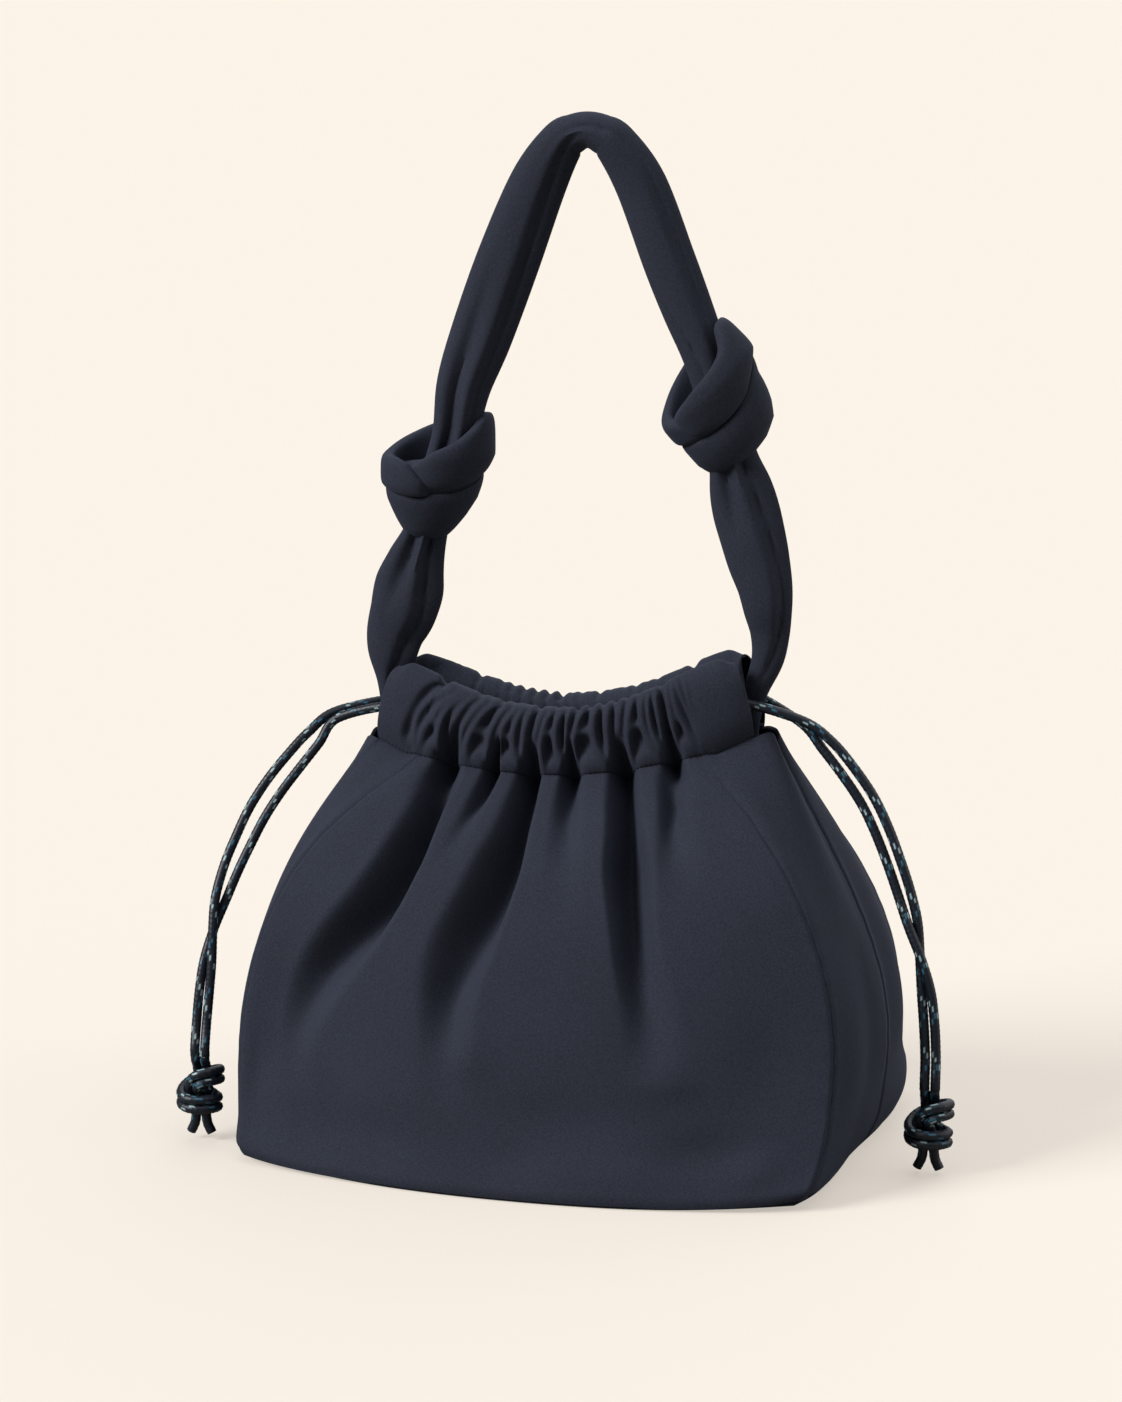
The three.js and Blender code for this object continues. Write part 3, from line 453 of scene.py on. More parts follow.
def girth(level):
    """Half sizes of the body at a level: 0 is the base edge, 1 the belly and 2 the neck."""
    upper = np.clip(level - 1, 0, 1)
    swell = 1 - (1 - np.clip(level, 0, 1)) ** 2.4
    climb = NECK_EDGE - BELLY_HEIGHT
    sizes = {}
    for name, (base, belly, neck, full, leans) in PROFILES.items():
        low = base + (belly - base) * (level if leans else swell)
        lead = belly + (belly - base) * 0.4 * climb / (BELLY_HEIGHT - SKIRT) if leans else belly
        high = bezier(belly, lead, neck + (belly - neck) * full, neck, upper)
        sizes[name] = np.where(level <= 1, low, high)
    low = SKIRT + (BELLY_HEIGHT - SKIRT) * level
    high = bezier(BELLY_HEIGHT, BELLY_HEIGHT + 0.4 * climb, NECK_EDGE - 0.35 * climb, NECK_EDGE, upper)
    sizes["z"] = np.where(level <= 1, low, high)
    sizes["drawn"] = upper ** 2
    return sizes


def neck_lift(x):
    """How far the neck's edge rises towards its ends."""
    return NECK_RISE * (x / NECK_SIDE) ** 2 + NECK_TILT * x


def slit_dip(round_to):
    """How far the side's upper edge dips towards the slit at the side seam."""
    return SLIT_DIP * np.clip(1 - round_to / SLIT_REACH, 0, 1) ** 2


def face_points(across, level, facing):
    """Plain front (-1) or rear (1) of the body. Across runs from -1 to 1 between the corner seams."""
    size = girth(level)
    x = across * size["corner_x"]
    y = facing * (size["corner_y"] + (size["front"] - size["corner_y"]) * (1 - across ** 2))
    return np.stack([x, y, size["z"] + size["drawn"] * neck_lift(x)], -1)


def side_points(round_to, level, end, facing):
    """Plain quarter of a side. Round runs from 0 at the side seam to 1 at the corner seam."""
    size = girth(level)
    x = end * (size["side"] - (size["side"] - size["corner_x"]) * round_to ** SIDE_ROUND)
    z = size["z"] + size["drawn"] * (neck_lift(x) - slit_dip(round_to))
    return np.stack([x, facing * round_to * size["corner_y"] * np.ones_like(x), z], -1)


def settled(points, level):
    """Body points of the standing bag: in at its left, fuller at its right rear, with its front foot out."""
    low = smoothstep(level, 0.0, 0.35) * (1 - smoothstep(level, 1.15, 1.8))
    x, y = points[..., 0], points[..., 1]
    full = RIGHT_SWELL * low + REAR_FOOT_OUT * (1 - smoothstep(level, 0.0, 0.7))
    slump = np.where(x < 0, LEFT_SLUMP * low, full * smoothstep(y, -30.0, 50.0))
    points[..., 0] = x + slump * np.abs(x) / HALF_GIRTH
    points[..., 1] = y - FRONT_FOOT_OUT * np.clip(1 - level / 0.8, 0, 1) ** 2 * np.clip(-y / BASE_Y, 0, 1)
    return points


# Painted shade: the base cloth is coloured darker than the body to stand for the shade in the gap under its
# foot.
base_cloth = cloth_material("base_cloth", BASE_PAINTED_SHADE_DARK, BASE_PAINTED_SHADE_LIGHT)

base_outline = []
for end, facing in ((1, -1), (1, 1), (-1, 1), (-1, -1)):
    steps = np.linspace(0, 1, 24)
    face_arc = face_points(end * steps, 0 * steps, facing)
    side_arc = side_points(steps[::-1], 0 * steps, end, facing)
    arc = np.vstack([face_arc, side_arc[1:]])
    base_outline.append(arc[:-1] if end * facing < 0 else arc[::-1][:-1])
base_outline = np.vstack(base_outline)
base_outline = settled(base_outline, np.zeros(len(base_outline)))[:, :2]
base_rings = []
for inset, height in BASE_EDGE:
    tucked = inset + CORNER_TUCK * np.abs(base_outline[:, :1] / BASE_X * base_outline[:, 1:] / FOOT_Y) ** 4
    pulled = base_outline * (1 - tucked / np.linalg.norm(base_outline, axis=1, keepdims=True))
    raised = CORNER_RAISE * np.abs(pulled[:, 0] / BASE_X * pulled[:, 1] / BASE_Y) ** 5
    base_rings.append(np.column_stack([pulled, raised + height]))
base_faces = rings_faces(len(base_rings), len(base_outline))
base = new_piece("base_cloth", np.vstack(base_rings), base_faces, base_cloth)
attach(base, "pouch")
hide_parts("base_panel")

# Pressed fibre board: matte grey brown with a mottled surface.
board_material, board_tree = new_material("pressed_board")
fibres = grain(board_tree, BOARD_FIBRE, 4.0)
board_colour = colour_mix(board_tree, BOARD_DARK, BOARD_LIGHT, fibres)
surface(board_tree, {"Roughness": 0.9}, board_colour, relief(board_tree, fibres, 0.2, 0.2))
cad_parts["base_board"].data.materials.clear()
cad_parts["base_board"].data.materials.append(board_material)


# Body. Front, rear and four side quarters of one cloth, sewn together at sharp seams. The front and the
# rear are gathered into the tunnel above, so folds run down from its stitching.
ENDS = {"left": -1, "right": 1}
CLOTH_DARK, CLOTH_LIGHT, CLOTH_THICKNESS = "#292d38", "#363b4a", 1.4
SEAM_REACH, SEAM_DEPTH, PUCKER_REACH, PUCKER_DEPTH = 2.4, 2.5, 4.0, 0.16
PANEL_COLUMNS, PANEL_SWELL, SIDE_COLUMNS, SIDE_RIPPLE = 381, 3.0, 61, 1.1
CORNER_LIFT, FOOT_ROLL, CORNER_ROLL, TUCK_IN, TUCK_UP = {-1: 2.4, 1: 4.8}, 1.6, 3.0, 0.6, 1.5
FOLD_LEVELS = (1.0, 1.1, 1.25, 1.4, 1.55, 1.7, 1.85, 1.95, 2.0, 2.3, 2.6)
FOLDS = [
    # left crest, valley and right crest of each fold across the panel, its depth, and its crisp side. A line
    # with fewer places belongs to the upper levels and keeps its first place below them.
    ((-0.86, -0.86, -0.85, -0.80, -0.74, -0.72, -0.80, -0.94, -0.97, -0.93, -0.88),
     (-0.78, -0.77, -0.72, -0.64, -0.56, -0.55, -0.61, -0.73, -0.77, -0.77, -0.77),
     (-0.70, -0.67, -0.60, -0.54, -0.51, -0.51, -0.56, -0.61, -0.60, -0.64, -0.68),
     (1.5, 6, 12, 17, 21, 21, 19, 16, 14, 9, 0), 1),
    ((-0.34, -0.35, -0.37, -0.38, -0.34, -0.31, -0.32, -0.35, -0.35, -0.30, -0.26),
     (-0.24, -0.24, -0.24, -0.20, -0.17, -0.13, -0.14, -0.17, -0.17, -0.17, -0.17),
     (-0.12, -0.14, -0.15, -0.12, -0.09, -0.07, -0.07, -0.06, -0.04, -0.08, -0.11),
     (1.5, 6, 12, 16, 20, 21, 19, 16, 14, 9, 0), 1),
    ((0.33, 0.33, 0.33, 0.32, 0.31, 0.30, 0.32, 0.31, 0.29, 0.34, 0.38),
     (0.44, 0.43, 0.41, 0.38, 0.38, 0.37, 0.41, 0.45, 0.46, 0.46, 0.46),
     (0.57, 0.56, 0.53, 0.49, 0.48, 0.52, 0.56, 0.61, 0.65, 0.58, 0.54),
     (0, 2.5, 7, 13, 18, 21, 19, 16, 14, 9, 0), -1),
    ((0.50, 0.52, 0.58, 0.66, 0.68, 0.72, 0.75), (0.60, 0.64, 0.75, 0.81, 0.81, 0.81),
     (0.75, 0.74, 0.80, 0.90, 0.94, 0.90, 0.87), (0, 2, 7, 12, 13, 8, 0), -1),
    ((-0.48, -0.50, -0.55, -0.58, -0.53, -0.49), (-0.41, -0.42, -0.43, -0.43, -0.43, -0.43),
     (-0.34, -0.35, -0.36, -0.36, -0.39, -0.41), (0, 2.5, 9, 12, 8, 0), 1),
    ((0.04, 0.01, -0.02, -0.03, 0.03, 0.06), (0.13, 0.12, 0.10, 0.10, 0.10, 0.10),
     (0.22, 0.23, 0.25, 0.27, 0.20, 0.15), (0, 1, 4, 9, 12, 8, 0), -1),
]
DENTS = [
    # place across, level, reach across, reach in level and depth of each soft hollow low on the panel
    (0.62, 0.40, 0.14, 0.16, 2.6), (-0.86, 1.02, 0.08, 0.3, 2.6), (-0.35, 0.7, 0.3, 0.25, -1.4),
    (0.18, 0.62, 0.28, 0.22, 1.5), (0.8, 1.0, 0.12, 0.35, 1.8), (-0.6, 0.35, 0.25, 0.2, 1.3),
    (-0.17, 1.02, 0.10, 0.10, -1.6), (0.50, 0.98, 0.09, 0.12, -1.6), (-0.93, 0.7, 0.05, 0.28, 1.4),
    (0.35, 0.22, 0.2, 0.12, -1.2), (0.80, 0.30, 0.08, 0.14, -1.5), (0.0, 0.30, 0.12, 0.14, 1.0),
]
cloth = cloth_material("pouch_cloth", CLOTH_DARK, CLOTH_LIGHT)


def smoothed(values, rounds):
    """Values drawn towards their neighbours, with the first and the last left as they are."""
    values = values.copy()
    for _ in range(rounds):
        values[1:-1] = (values[:-2] + 2 * values[1:-1] + values[2:]) / 4
    return values


def at_level(line, level):
    """Value of a fold's line at a level, with the line smoothed between its given levels."""
    fine = np.linspace(0.8, 2.8, 201)
    line_levels = FOLD_LEVELS[-len(line):]
    return np.interp(level, fine, smoothed(np.interp(fine, line_levels, line), 30))


def fold_height(across, level):
    """How far the gathered panel stands out (+) or in (-) of its plain form."""
    height = PANEL_SWELL * smoothstep(level, 1.1, 1.9) * (1 - across ** 6)
    low_end = smoothstep(level, 0.5, 1.05)
    for left, valley, right, depth, crisp in FOLDS:
        edge, low, far = (at_level(line, level) for line in (left, valley, right))
        from_left = np.clip((across - edge) / (low - edge), 0, 1)
        from_right = np.clip((far - across) / (far - low), 0, 1)
        fall = np.where(across < low, from_left, from_right)
        soft, sharp = smoothstep(fall, 0, 1), np.sin(math.pi / 2 * fall)
        drawn = smoothstep(level, 1.15, 1.45) * (1 - smoothstep(level, 1.9, 2.0))
        shape = np.where((across > low) == (crisp > 0), soft + (sharp - soft) * drawn, soft)
        shape = shape ** (1 + 1.7 * smoothstep(level, 1.7, 1.95))
        height = height - low_end * at_level(depth, level) * shape
    for a, l, reach_a, reach_l, depth in DENTS:
        height = height - depth * np.exp(-((across - a) / reach_a) ** 2 - ((level - l) / reach_l) ** 2)
    return height * smoothstep(1 - np.abs(across), 0, 0.07)


def corner_lift(reach, level, end):
    """How far the foot rises off the floor towards a corner seam."""
    return CORNER_LIFT[end] * np.abs(reach) ** 5 * np.clip(1 - level / 0.6, 0, 1) ** 2


def eased(height, rounds):
    """Height grid smoothed a little, so that slanted folds keep an even edge."""
    for _ in range(rounds):
        beside = height[:-2, 1:-1] + height[2:, 1:-1] + height[1:-1, :-2] + height[1:-1, 2:]
        inner = height[1:-1, 1:-1] * 4 + 2 * beside
        inner = inner + height[:-2, :-2] + height[:-2, 2:] + height[2:, :-2] + height[2:, 2:]
        height = height.copy()
        height[1:-1, 1:-1] = inner / 16
    return height


def outward_normals(points, facing_to):
    """Normals of a grid of points, turned to the side that facing_to points to."""
    normals = unit(np.cross(np.gradient(points, axis=1), np.gradient(points, axis=0)))
    return normals * np.sign(np.sum(normals * facing_to, axis=-1, keepdims=True))


def shell_faces(rows, columns):
    """Faces of a closed shell between an outer grid and a lining grid."""
    count = rows * columns
    index = np.arange(count).reshape(rows, columns)
    rim = np.concatenate([index[0, :-1], index[:-1, -1], index[-1, :0:-1], index[:0:-1, 0]])
    after = np.roll(rim, -1)
    edge = np.stack([rim, after, after + count, rim + count], -1).tolist()
    return grid_faces(rows, columns) + grid_faces(rows, columns, first=count) + edge


def cloth_piece(name, points, faces, material):
    """Mesh piece with the given material."""
    piece = new_piece(name, points, faces, material)
    return piece


def cloth_shell(name, outer, normals):
    """Piece of cloth between an outer grid and a lining laid inwards along the plain form's normals."""
    lining = outer - normals * CLOTH_THICKNESS
    return cloth_piece(name, np.concatenate([outer, lining]), shell_faces(*outer.shape[:2]), cloth)


def seam_dip(distance, level):
    """How far cloth rolls in at a seam, by its distance from it. The roll is slighter near the neck."""
    deep = SEAM_DEPTH * (1 - 0.7 * smoothstep(level, 1.6, 1.95))
    return deep * np.clip(1 - distance / SEAM_REACH, 0, 1) ** 2


def seam_pucker(height, distance, short_wave, long_wave):
    """Fine puckers up a seam, which fade away from it."""
    waves = np.sin(height * short_wave + 2 * np.sin(height * long_wave))
    return PUCKER_DEPTH * waves * np.exp(-distance / PUCKER_REACH)


def foot_roll(level, reach):
    """How far cloth rolls in under the bag at its lower edge, most of all at its corners."""
    corner = np.abs(reach) ** 8
    return (FOOT_ROLL + CORNER_ROLL * corner) * np.clip(1 - level / (0.09 + 0.06 * corner), 0, 1) ** 2


def drawn_to_foot(points, level, places, facing, weight):
    """Body points whose upper rows meet the tunnel's stitched foot."""
    foot = tunnel_grid(places, facing)[:, 0]
    share = (smoothstep(level, 1.88, 2.0) * weight)[..., None]
    return points + (foot[None] - points) * share


def panel_levels():
    """Levels of a panel's rows, closest at the foot and above the belly."""
    return np.concatenate([np.linspace(0, 0.1, 7), np.linspace(0.14, 1, 34), np.linspace(1.02, 2, 110)])


def face_grid(columns, facing):
    """Front or rear with its folds, seams and rolled foot, and the normals of its plain form."""
    s = np.linspace(-1, 1, columns)
    across, level = np.meshgrid(0.55 * s + 0.45 * s * (3 - s * s) / 2, panel_levels())
    plain = face_points(across, level, facing)
    normals = outward_normals(plain, np.array([0.0, facing, 0.0]))
    to_seam = (1 - np.abs(across)) * girth(level)["corner_x"]
    folds = eased(fold_height(across * -facing, level), 6)
    pucker = seam_pucker(plain[..., 2], to_seam, 0.47, 0.11)
    height = folds - seam_dip(to_seam, level) - foot_roll(level, across) + pucker
    points = plain + normals * height[..., None]
    points[..., 2] += np.where(across < 0, corner_lift(across, level, -1), corner_lift(across, level, 1))
    points = drawn_to_foot(settled(points, level), level, across[0], facing, 1.0)
    points = np.concatenate([points, points[-1:] + np.array([0.0, -TUCK_IN * facing, TUCK_UP])])
    return points, np.concatenate([normals, normals[-1:]])


def side_grid(columns, end, facing):
    """Quarter of a side with its seams and rolled foot, and the normals of its plain form."""
    s = np.linspace(0, 1, columns)
    round_to, level = np.meshgrid(0.4 * s + 0.6 * s * s * (3 - 2 * s), panel_levels())
    plain = side_points(round_to, level, end, facing)
    normals = outward_normals(plain, np.array([end, 0.2 * facing, 0.0]))
    wide = girth(level)["corner_y"]
    to_seam = np.minimum(round_to, 1 - round_to) * wide
    ripple = np.sin(round_to * 9 + 1.2 * end) * np.sin(level * 3.1 + facing)
    soft = SIDE_RIPPLE * ripple * smoothstep(level, 0.3, 1.2) * smoothstep(to_seam, 0, 8)
    pucker = seam_pucker(plain[..., 2], to_seam, 0.43, 0.13)
    height = soft - seam_dip(to_seam, level) - foot_roll(level, round_to) + pucker
    points = plain + normals * height[..., None]
    points[..., 2] += corner_lift(round_to, level, end)
    places = end * (1 + np.clip((1 - round_to[0]) / (1 - SLIT_LOW), 0, 1))
    weight = smoothstep(round_to, SLIT_LOW, SLIT_LOW + 0.06)
    return drawn_to_foot(settled(points, level), level, places, facing, weight), normals


TUNNEL_HEIGHT, TUNNEL_RISE, TUNNEL_HALF, TUNNEL_MEAN, PLAIN_END = 32.0, 10.5, 5.6, 36.0, 32.0
TUNNEL_SLACK, END_PUFF, END_SAG, HEM_PINCH, BACK_FULL = 0.6, 1.3, 4.5, 0.7, 2.2
FOOT_SET, NECK_DRAW, TOP_LEAN, FOOT_SPREAD, TOP_DRAW, FOOT_HANG = 1.0, 3.6, 1.5, 0.03, 0.15, 1.8
WALL_DEEPEST, FOOT_DEEPER = 6.4, 24.0
RUFFLE_DEPTH, BRIDGE_HALF, SCALLOP, FINGER_WIDE, FINGER_EASE = 4.9, 2.3, 0.75, 1.25, 0.8
ROPES = [
    # half width of each rope-like fold, and its places along the tunnel at its foot, half way up and its top
    (2.4, -71, -74, -62), (2.6, -62, -66, -52), (2.6, -61, -60, -48), (2.6, -49, -55, -45),
    (2.7, -45, -49, -42), (2.7, -43, -44, -36), (2.6, -39, -40, -31), (2.6, -28, -31, -25),
    (2.6, -26, -27, -20), (2.6, -14, -20, -17), (2.6, -11, -15, -13), (2.6, -10, -10, -7),
    (2.4, -5, -7, -3), (2.6, 6, 0, 2), (1.8, 7, 5, 6), (2.4, 8, 8, 13), (2.7, 24, 18, 19),
    (2.7, 26, 24, 25), (2.7, 27, 29, 31), (2.6, 32, 33, 37), (2.6, 47, 41, 42), (1.7, 48, 44, 45),
    (2.0, 50, 48, 48), (2.3, 50, 53, 53), (2.2, 63, 57, 56), (1.8, 65, 61, 58), (1.7, 67, 63, 61),
]
BRIDGES = [
    # two places along the tunnel and the share of its height where one rope runs over into its neighbour
    (-60, -55, 0.45), (-40, -31, 0.50), (-27, -20, 0.50), (-7, 0, 0.60), (8, 18, 0.60), (33, 41, 0.55),
    (52, 57, 0.48),
]
FINGERS = [
    # foot place, tip place, share of the height at the tip and half width of each body fold's rounded end
    (-72.5, -68, 0.25, 4.2), (-59.5, -55.5, 0.34, 4.6), (-36, -32.5, 0.42, 5.2), (-22.5, -20.5, 0.33, 4.8),
    (-2, -0.2, 0.32, 4.8), (17.2, 16, 0.46, 6.0), (41.3, 39.8, 0.38, 6.2), (59, 56, 0.36, 5.4),
]
SLIT_LOW, SLIT_HIGH = 0.58, 0.76
TUNNEL_SIDES = 96


def tunnel_height(x):
    """Height of the tunnel, which is taller towards its ends."""
    return TUNNEL_HEIGHT + TUNNEL_RISE * (x / NECK_SIDE) ** 2


def rope_lines():
    """Half width of each rope-like fold and bridge, with the places and shares of height along it."""
    lines = []
    for half, foot, waist, top in ROPES:
        shares = np.linspace(0.06, 1.0, 9)
        places = np.polyval(np.polyfit((0.06, 0.52, 1.0), (foot, waist, top), 2), shares)
        lines.append((half, list(zip(places, shares))))
    for left, right, share in BRIDGES:
        middle = (left + right) / 2
        lines.append((BRIDGE_HALF, [(left, share), (middle, share + 0.06), (right, share + 0.04)]))
    return lines


def ruffle_depth(s, share):
    """Hollows between the rope-like folds, which run up round the cords above each finger of the body."""
    up = share * TUNNEL_HEIGHT
    crest = np.zeros_like(s)
    for half, line in rope_lines():
        for (s0, low), (s1, high) in zip(line[:-1], line[1:]):
            run, rise = s1 - s0, (high - low) * TUNNEL_HEIGHT
            t = np.clip(((s - s0) * run + (up - low * TUNNEL_HEIGHT) * rise) / (run ** 2 + rise ** 2), 0, 1)
            away = np.hypot(s - s0 - t * run, up - low * TUNNEL_HEIGHT - t * rise) / half
            crest = np.maximum(crest, np.sqrt(np.clip(1 - away ** 2, 0, 1)))
    for foot, tip, top, half in FINGERS:
        t = np.clip(share / top, 0, 1)
        away = np.abs(s - foot - (tip - foot) * t) / (FINGER_WIDE * half * (1 - t) ** 0.7 + FINGER_EASE)
        crest = np.maximum(crest, (1 - 0.65 * t) * (1 - t ** 8) * np.sqrt(np.clip(1 - away ** 2, 0, 1)))
    gathered = (1 - smoothstep(s + 2.5 * share, 61.5, 67.0)) * smoothstep(s - 9 * share, -76.0, -71.5)
    depth = RUFFLE_DEPTH * (1 - crest) * gathered
    for _ in range(5):
        depth = smoothed((np.roll(depth, 1, 1) + 2 * depth + np.roll(depth, -1, 1)) / 4, 1)
    return depth


def scallop(s):
    """How far the tunnel's top edge dips between its ruffles."""
    places = np.arange(-82.0, 74.0, 0.5)
    dips = ruffle_depth(places[:, None], np.full((len(places), 1), 0.95))[:, 0]
    return SCALLOP * np.interp(s, places, smoothed(dips, 7))


def section_turn(sides):
    """How far out (1 to -1) and how far up (0 to 1) each point of a tunnel's section lies."""
    angle = -math.pi / 2 + 2 * math.pi * np.arange(sides) / sides
    share = (1 + np.sin(angle)) / 2
    out = np.sign(np.cos(angle)) * np.sqrt(np.clip(1 - np.abs(2 * share - 1) ** 3.2, 0, 1))
    flush = (np.cos(angle) > 0) & (share < 0.5)
    return np.where(flush, np.sin(math.pi * share), out), share


def tunnel_grid(places, facing, inset=0.0):
    """Rings of the tunnel. Places run from -1 to 1 along the ruffles and on to 2 at the slit of each end."""
    out, share = section_turn(TUNNEL_SIDES)
    place, out = np.meshgrid(places, out, indexing="ij")
    share = np.broadcast_to(share, place.shape)
    end = np.where(place < 0, -1.0, 1.0)
    across, along = np.clip(place, -1, 1), np.clip(np.abs(place) - 1, 0, 1)
    stop = SLIT_LOW + (SLIT_HIGH - SLIT_LOW) * share
    round_to = 1 + (stop - 1) * along
    end_x = end * (NECK_SIDE - (NECK_SIDE - NECK_CORNER) * round_to ** SIDE_ROUND)
    x0 = np.where(along > 0, end_x, across * NECK_CORNER)
    y0 = np.where(along > 0, NECK_DEPTH * round_to, NECK_DEPTH + NECK_BOW * (1 - across ** 2))
    turned = smoothstep(along, 0, 0.45)
    way_x = NECK_DEPTH * turned + 2 * NECK_BOW * np.abs(across) * (1 - turned)
    way_y = SIDE_ROUND * (NECK_SIDE - NECK_CORNER) * round_to ** (SIDE_ROUND - 1)
    size = np.hypot(way_x, way_y)
    way_x, way_y = end * way_x / size, way_y / size
    gathered = 1 - smoothstep(along, 0, 0.22)
    outside = smoothstep(out, -0.25, 0.35)
    folded = fold_height(across * -facing, 2 + share) * gathered
    folded = folded * (1 - (1 - outside) * smoothstep(share, 0.02, 0.3))
    s = (across * NECK_CORNER + end * along * PLAIN_END) * -facing
    drawn = ruffle_depth(s, share)
    puff = END_PUFF * np.sin(math.pi * share) ** 0.7 * np.sin(math.pi * np.clip(along * 0.9, 0, 1))
    half = TUNNEL_HALF + TUNNEL_SLACK + puff - inset - drawn * (0.15 + 0.85 * outside)
    half = half + BACK_FULL * (1 - outside) * (1 - smoothstep(along, 0.0, 0.5))
    half = half - HEM_PINCH * np.clip((along - 0.94) / 0.06, 0, 1) ** 2
    set_in = -FOOT_SET - NECK_DRAW * smoothstep(share, 0, 0.5) - TOP_LEAN * share
    offset = set_in + folded + half * out
    deepest = -WALL_DEEPEST - inset - FOOT_DEEPER * (1 - smoothstep(share, 0.04, 0.24))
    offset = np.where(outside > 0.5, np.maximum(offset, deepest), offset)
    lean = (FOOT_SPREAD - TOP_DRAW * share) * NECK_CORNER * across * (1 - along) ** 1.3
    dip = slit_dip(round_to) + END_SAG * smoothstep(along, 0.55, 1.0) * share ** 3
    level = np.clip(share, inset / TUNNEL_MEAN, 1 - inset / TUNNEL_MEAN)
    notch = smoothstep(share, 0.86, 1.0) * scallop(s)
    hang = (FOOT_HANG * gathered + 0.5 * folded) * (1 - share) ** 2
    z = NECK_EDGE + neck_lift(x0) - dip + tunnel_height(x0) * level - notch + hang
    return np.stack([x0 + lean + way_x * offset, facing * (y0 + way_y * offset), z], -1)


for face, facing in FACES.items():
    grid, normals = face_grid(PANEL_COLUMNS, facing)
    middle = grid.shape[1] // 2
    for side, end in ENDS.items():
        half = slice(0, middle + 1) if end < 0 else slice(middle, None)
        piece = cloth_shell(f"{face}_cloth_{side}", grid[:, half], normals[:, half])
        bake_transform(piece)
        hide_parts(face + "_panel")
        side_piece = cloth_shell(f"{side}_side_cloth_{face}", *side_grid(SIDE_COLUMNS, end, facing))
        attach(side_piece, "pouch")
        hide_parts(f"{side}_side_{face}")


# Cord tunnel. The top edge is folded over and stitched down round the cords. The front and the rear
# lengths are drawn up into ruffles, and the four plain ends stop at the slits where the cords come out.
STITCH_PITCH, STITCH_LENGTH, THREAD_RADIUS, STITCH_RING = 2.1, 1.3, 0.3, 5
THREAD_DARK, THREAD_LIGHT = "#0f1116", "#1b1e26"
RUN_LEVELS, RUN_DEPTH, RUN_HALF = {"left": 0.36, "right": 0.62}, 11.8, 58
GATHERS_THICKNESS, HEM_THICKNESS = 1.2, 1.4
# Dull spun thread, a shade darker than the cloth, so that the stitches show as small dark dashes.
thread = cloth_material("sewing_thread", THREAD_DARK, THREAD_LIGHT)


def pipe_faces(rings, sides):
    """Faces of a hollow tube: its outside, its lining and the rim at both ends."""
    count = rings * sides
    faces = grid_faces(rings, sides, wrap=True) + grid_faces(rings, sides, wrap=True, first=count)
    for ring in (0, rings - 1):
        edge = ring * sides + np.arange(sides)
        after = np.roll(edge, -1)
        faces += np.stack([edge, after, after + count, edge + count], -1).tolist()
    return faces


def tunnel_piece(name, places, facing, thickness):
    """Length of the tunnel with its lining, and the points of its outside."""
    outer, lining = tunnel_grid(places, facing), tunnel_grid(places, facing, thickness)
    faces = pipe_faces(len(outer), TUNNEL_SIDES)
    return cloth_piece(name, np.concatenate([outer, lining]), faces, cloth), outer


def stitch_row(name, line, out_way):
    """Row of short stitches, half sunk in the cloth, along a line of points."""
    along = lengths_along(line)
    points, faces = [], []
    for spot in np.arange(1.0, along[-1] - 1.0, STITCH_PITCH):
        a, b = (np.array([np.interp(spot + half, along, line[:, k]) for k in range(3)])
                for half in (-STITCH_LENGTH / 2, STITCH_LENGTH / 2))
        side = unit(np.cross(b - a, out_way)) * THREAD_RADIUS
        out = unit(np.cross(side, b - a)) * THREAD_RADIUS
        first = len(points)
        points.append(a - out * 0.6)
        for share in (0.25, 0.75):
            for turn in np.arange(6) * math.pi / 3:
                points.append(a + (b - a) * share + side * math.cos(turn) + out * math.sin(turn))
        points.append(b - out * 0.6)
        faces += [[first, first + 1 + k, first + 1 + (k + 1) % 6] for k in range(6)]
        faces += [[first + 13, first + 7 + k, first + 7 + (k + 1) % 6] for k in range(6)]
        faces += grid_faces(2, 6, wrap=True, first=first + 1)
    return cloth_piece(name, points, faces, thread)


for face, facing in FACES.items():
    for side, end in ENDS.items():
        places = end * np.linspace(0, 1, 201)
        gathers, outer = tunnel_piece(f"{face}_gathers_{side}", places, facing, GATHERS_THICKNESS)
        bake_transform(gathers)
        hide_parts(face + "_tunnel")
        row = stitch_row(f"{face}_stitches_{side}", outer[:, STITCH_RING], np.array([0.0, facing, 0.0]))
        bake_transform(row)
        for cord_side, level in RUN_LEVELS.items():
            x = end * np.linspace(0, RUN_HALF, 30)
            y = facing * (RUN_DEPTH - NECK_BOW * (x / NECK_CORNER) ** 2)
            z = NECK_EDGE + neck_lift(x) + tunnel_height(x) * level
            run_line = smooth_line(np.column_stack([x, y, z]), 0.8)
            run = cord_piece(f"{cord_side}_run_{face}_{side}", [run_line], cord_material)
            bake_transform(run)
            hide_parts(f"{cord_side}_cord_{face}_run")
        places = end * (1 + np.linspace(0, 1, 48))
        plain, outer = tunnel_piece(f"{side}_plain_end_{face}", places, facing, HEM_THICKNESS)
        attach(plain, "pouch")
        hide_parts(f"{side}_tunnel_end_{face}")
        out_way = np.array([end * 0.4, facing, 0.0])
        row = stitch_row(f"{side}_end_stitches_{face}", outer[:, STITCH_RING], out_way)
        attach(row, "pouch")


# Handle. One soft tube of the same cloth, pressed flat, pinched at the top of its arch, with an overhand
# knot tied in each arm. Its ends go down behind the plain tunnel ends and are sewn into the side slits.
STRAP_COLUMNS, STRAP_SIDES, STRAP_SQUARE = 10, 56, 0.85
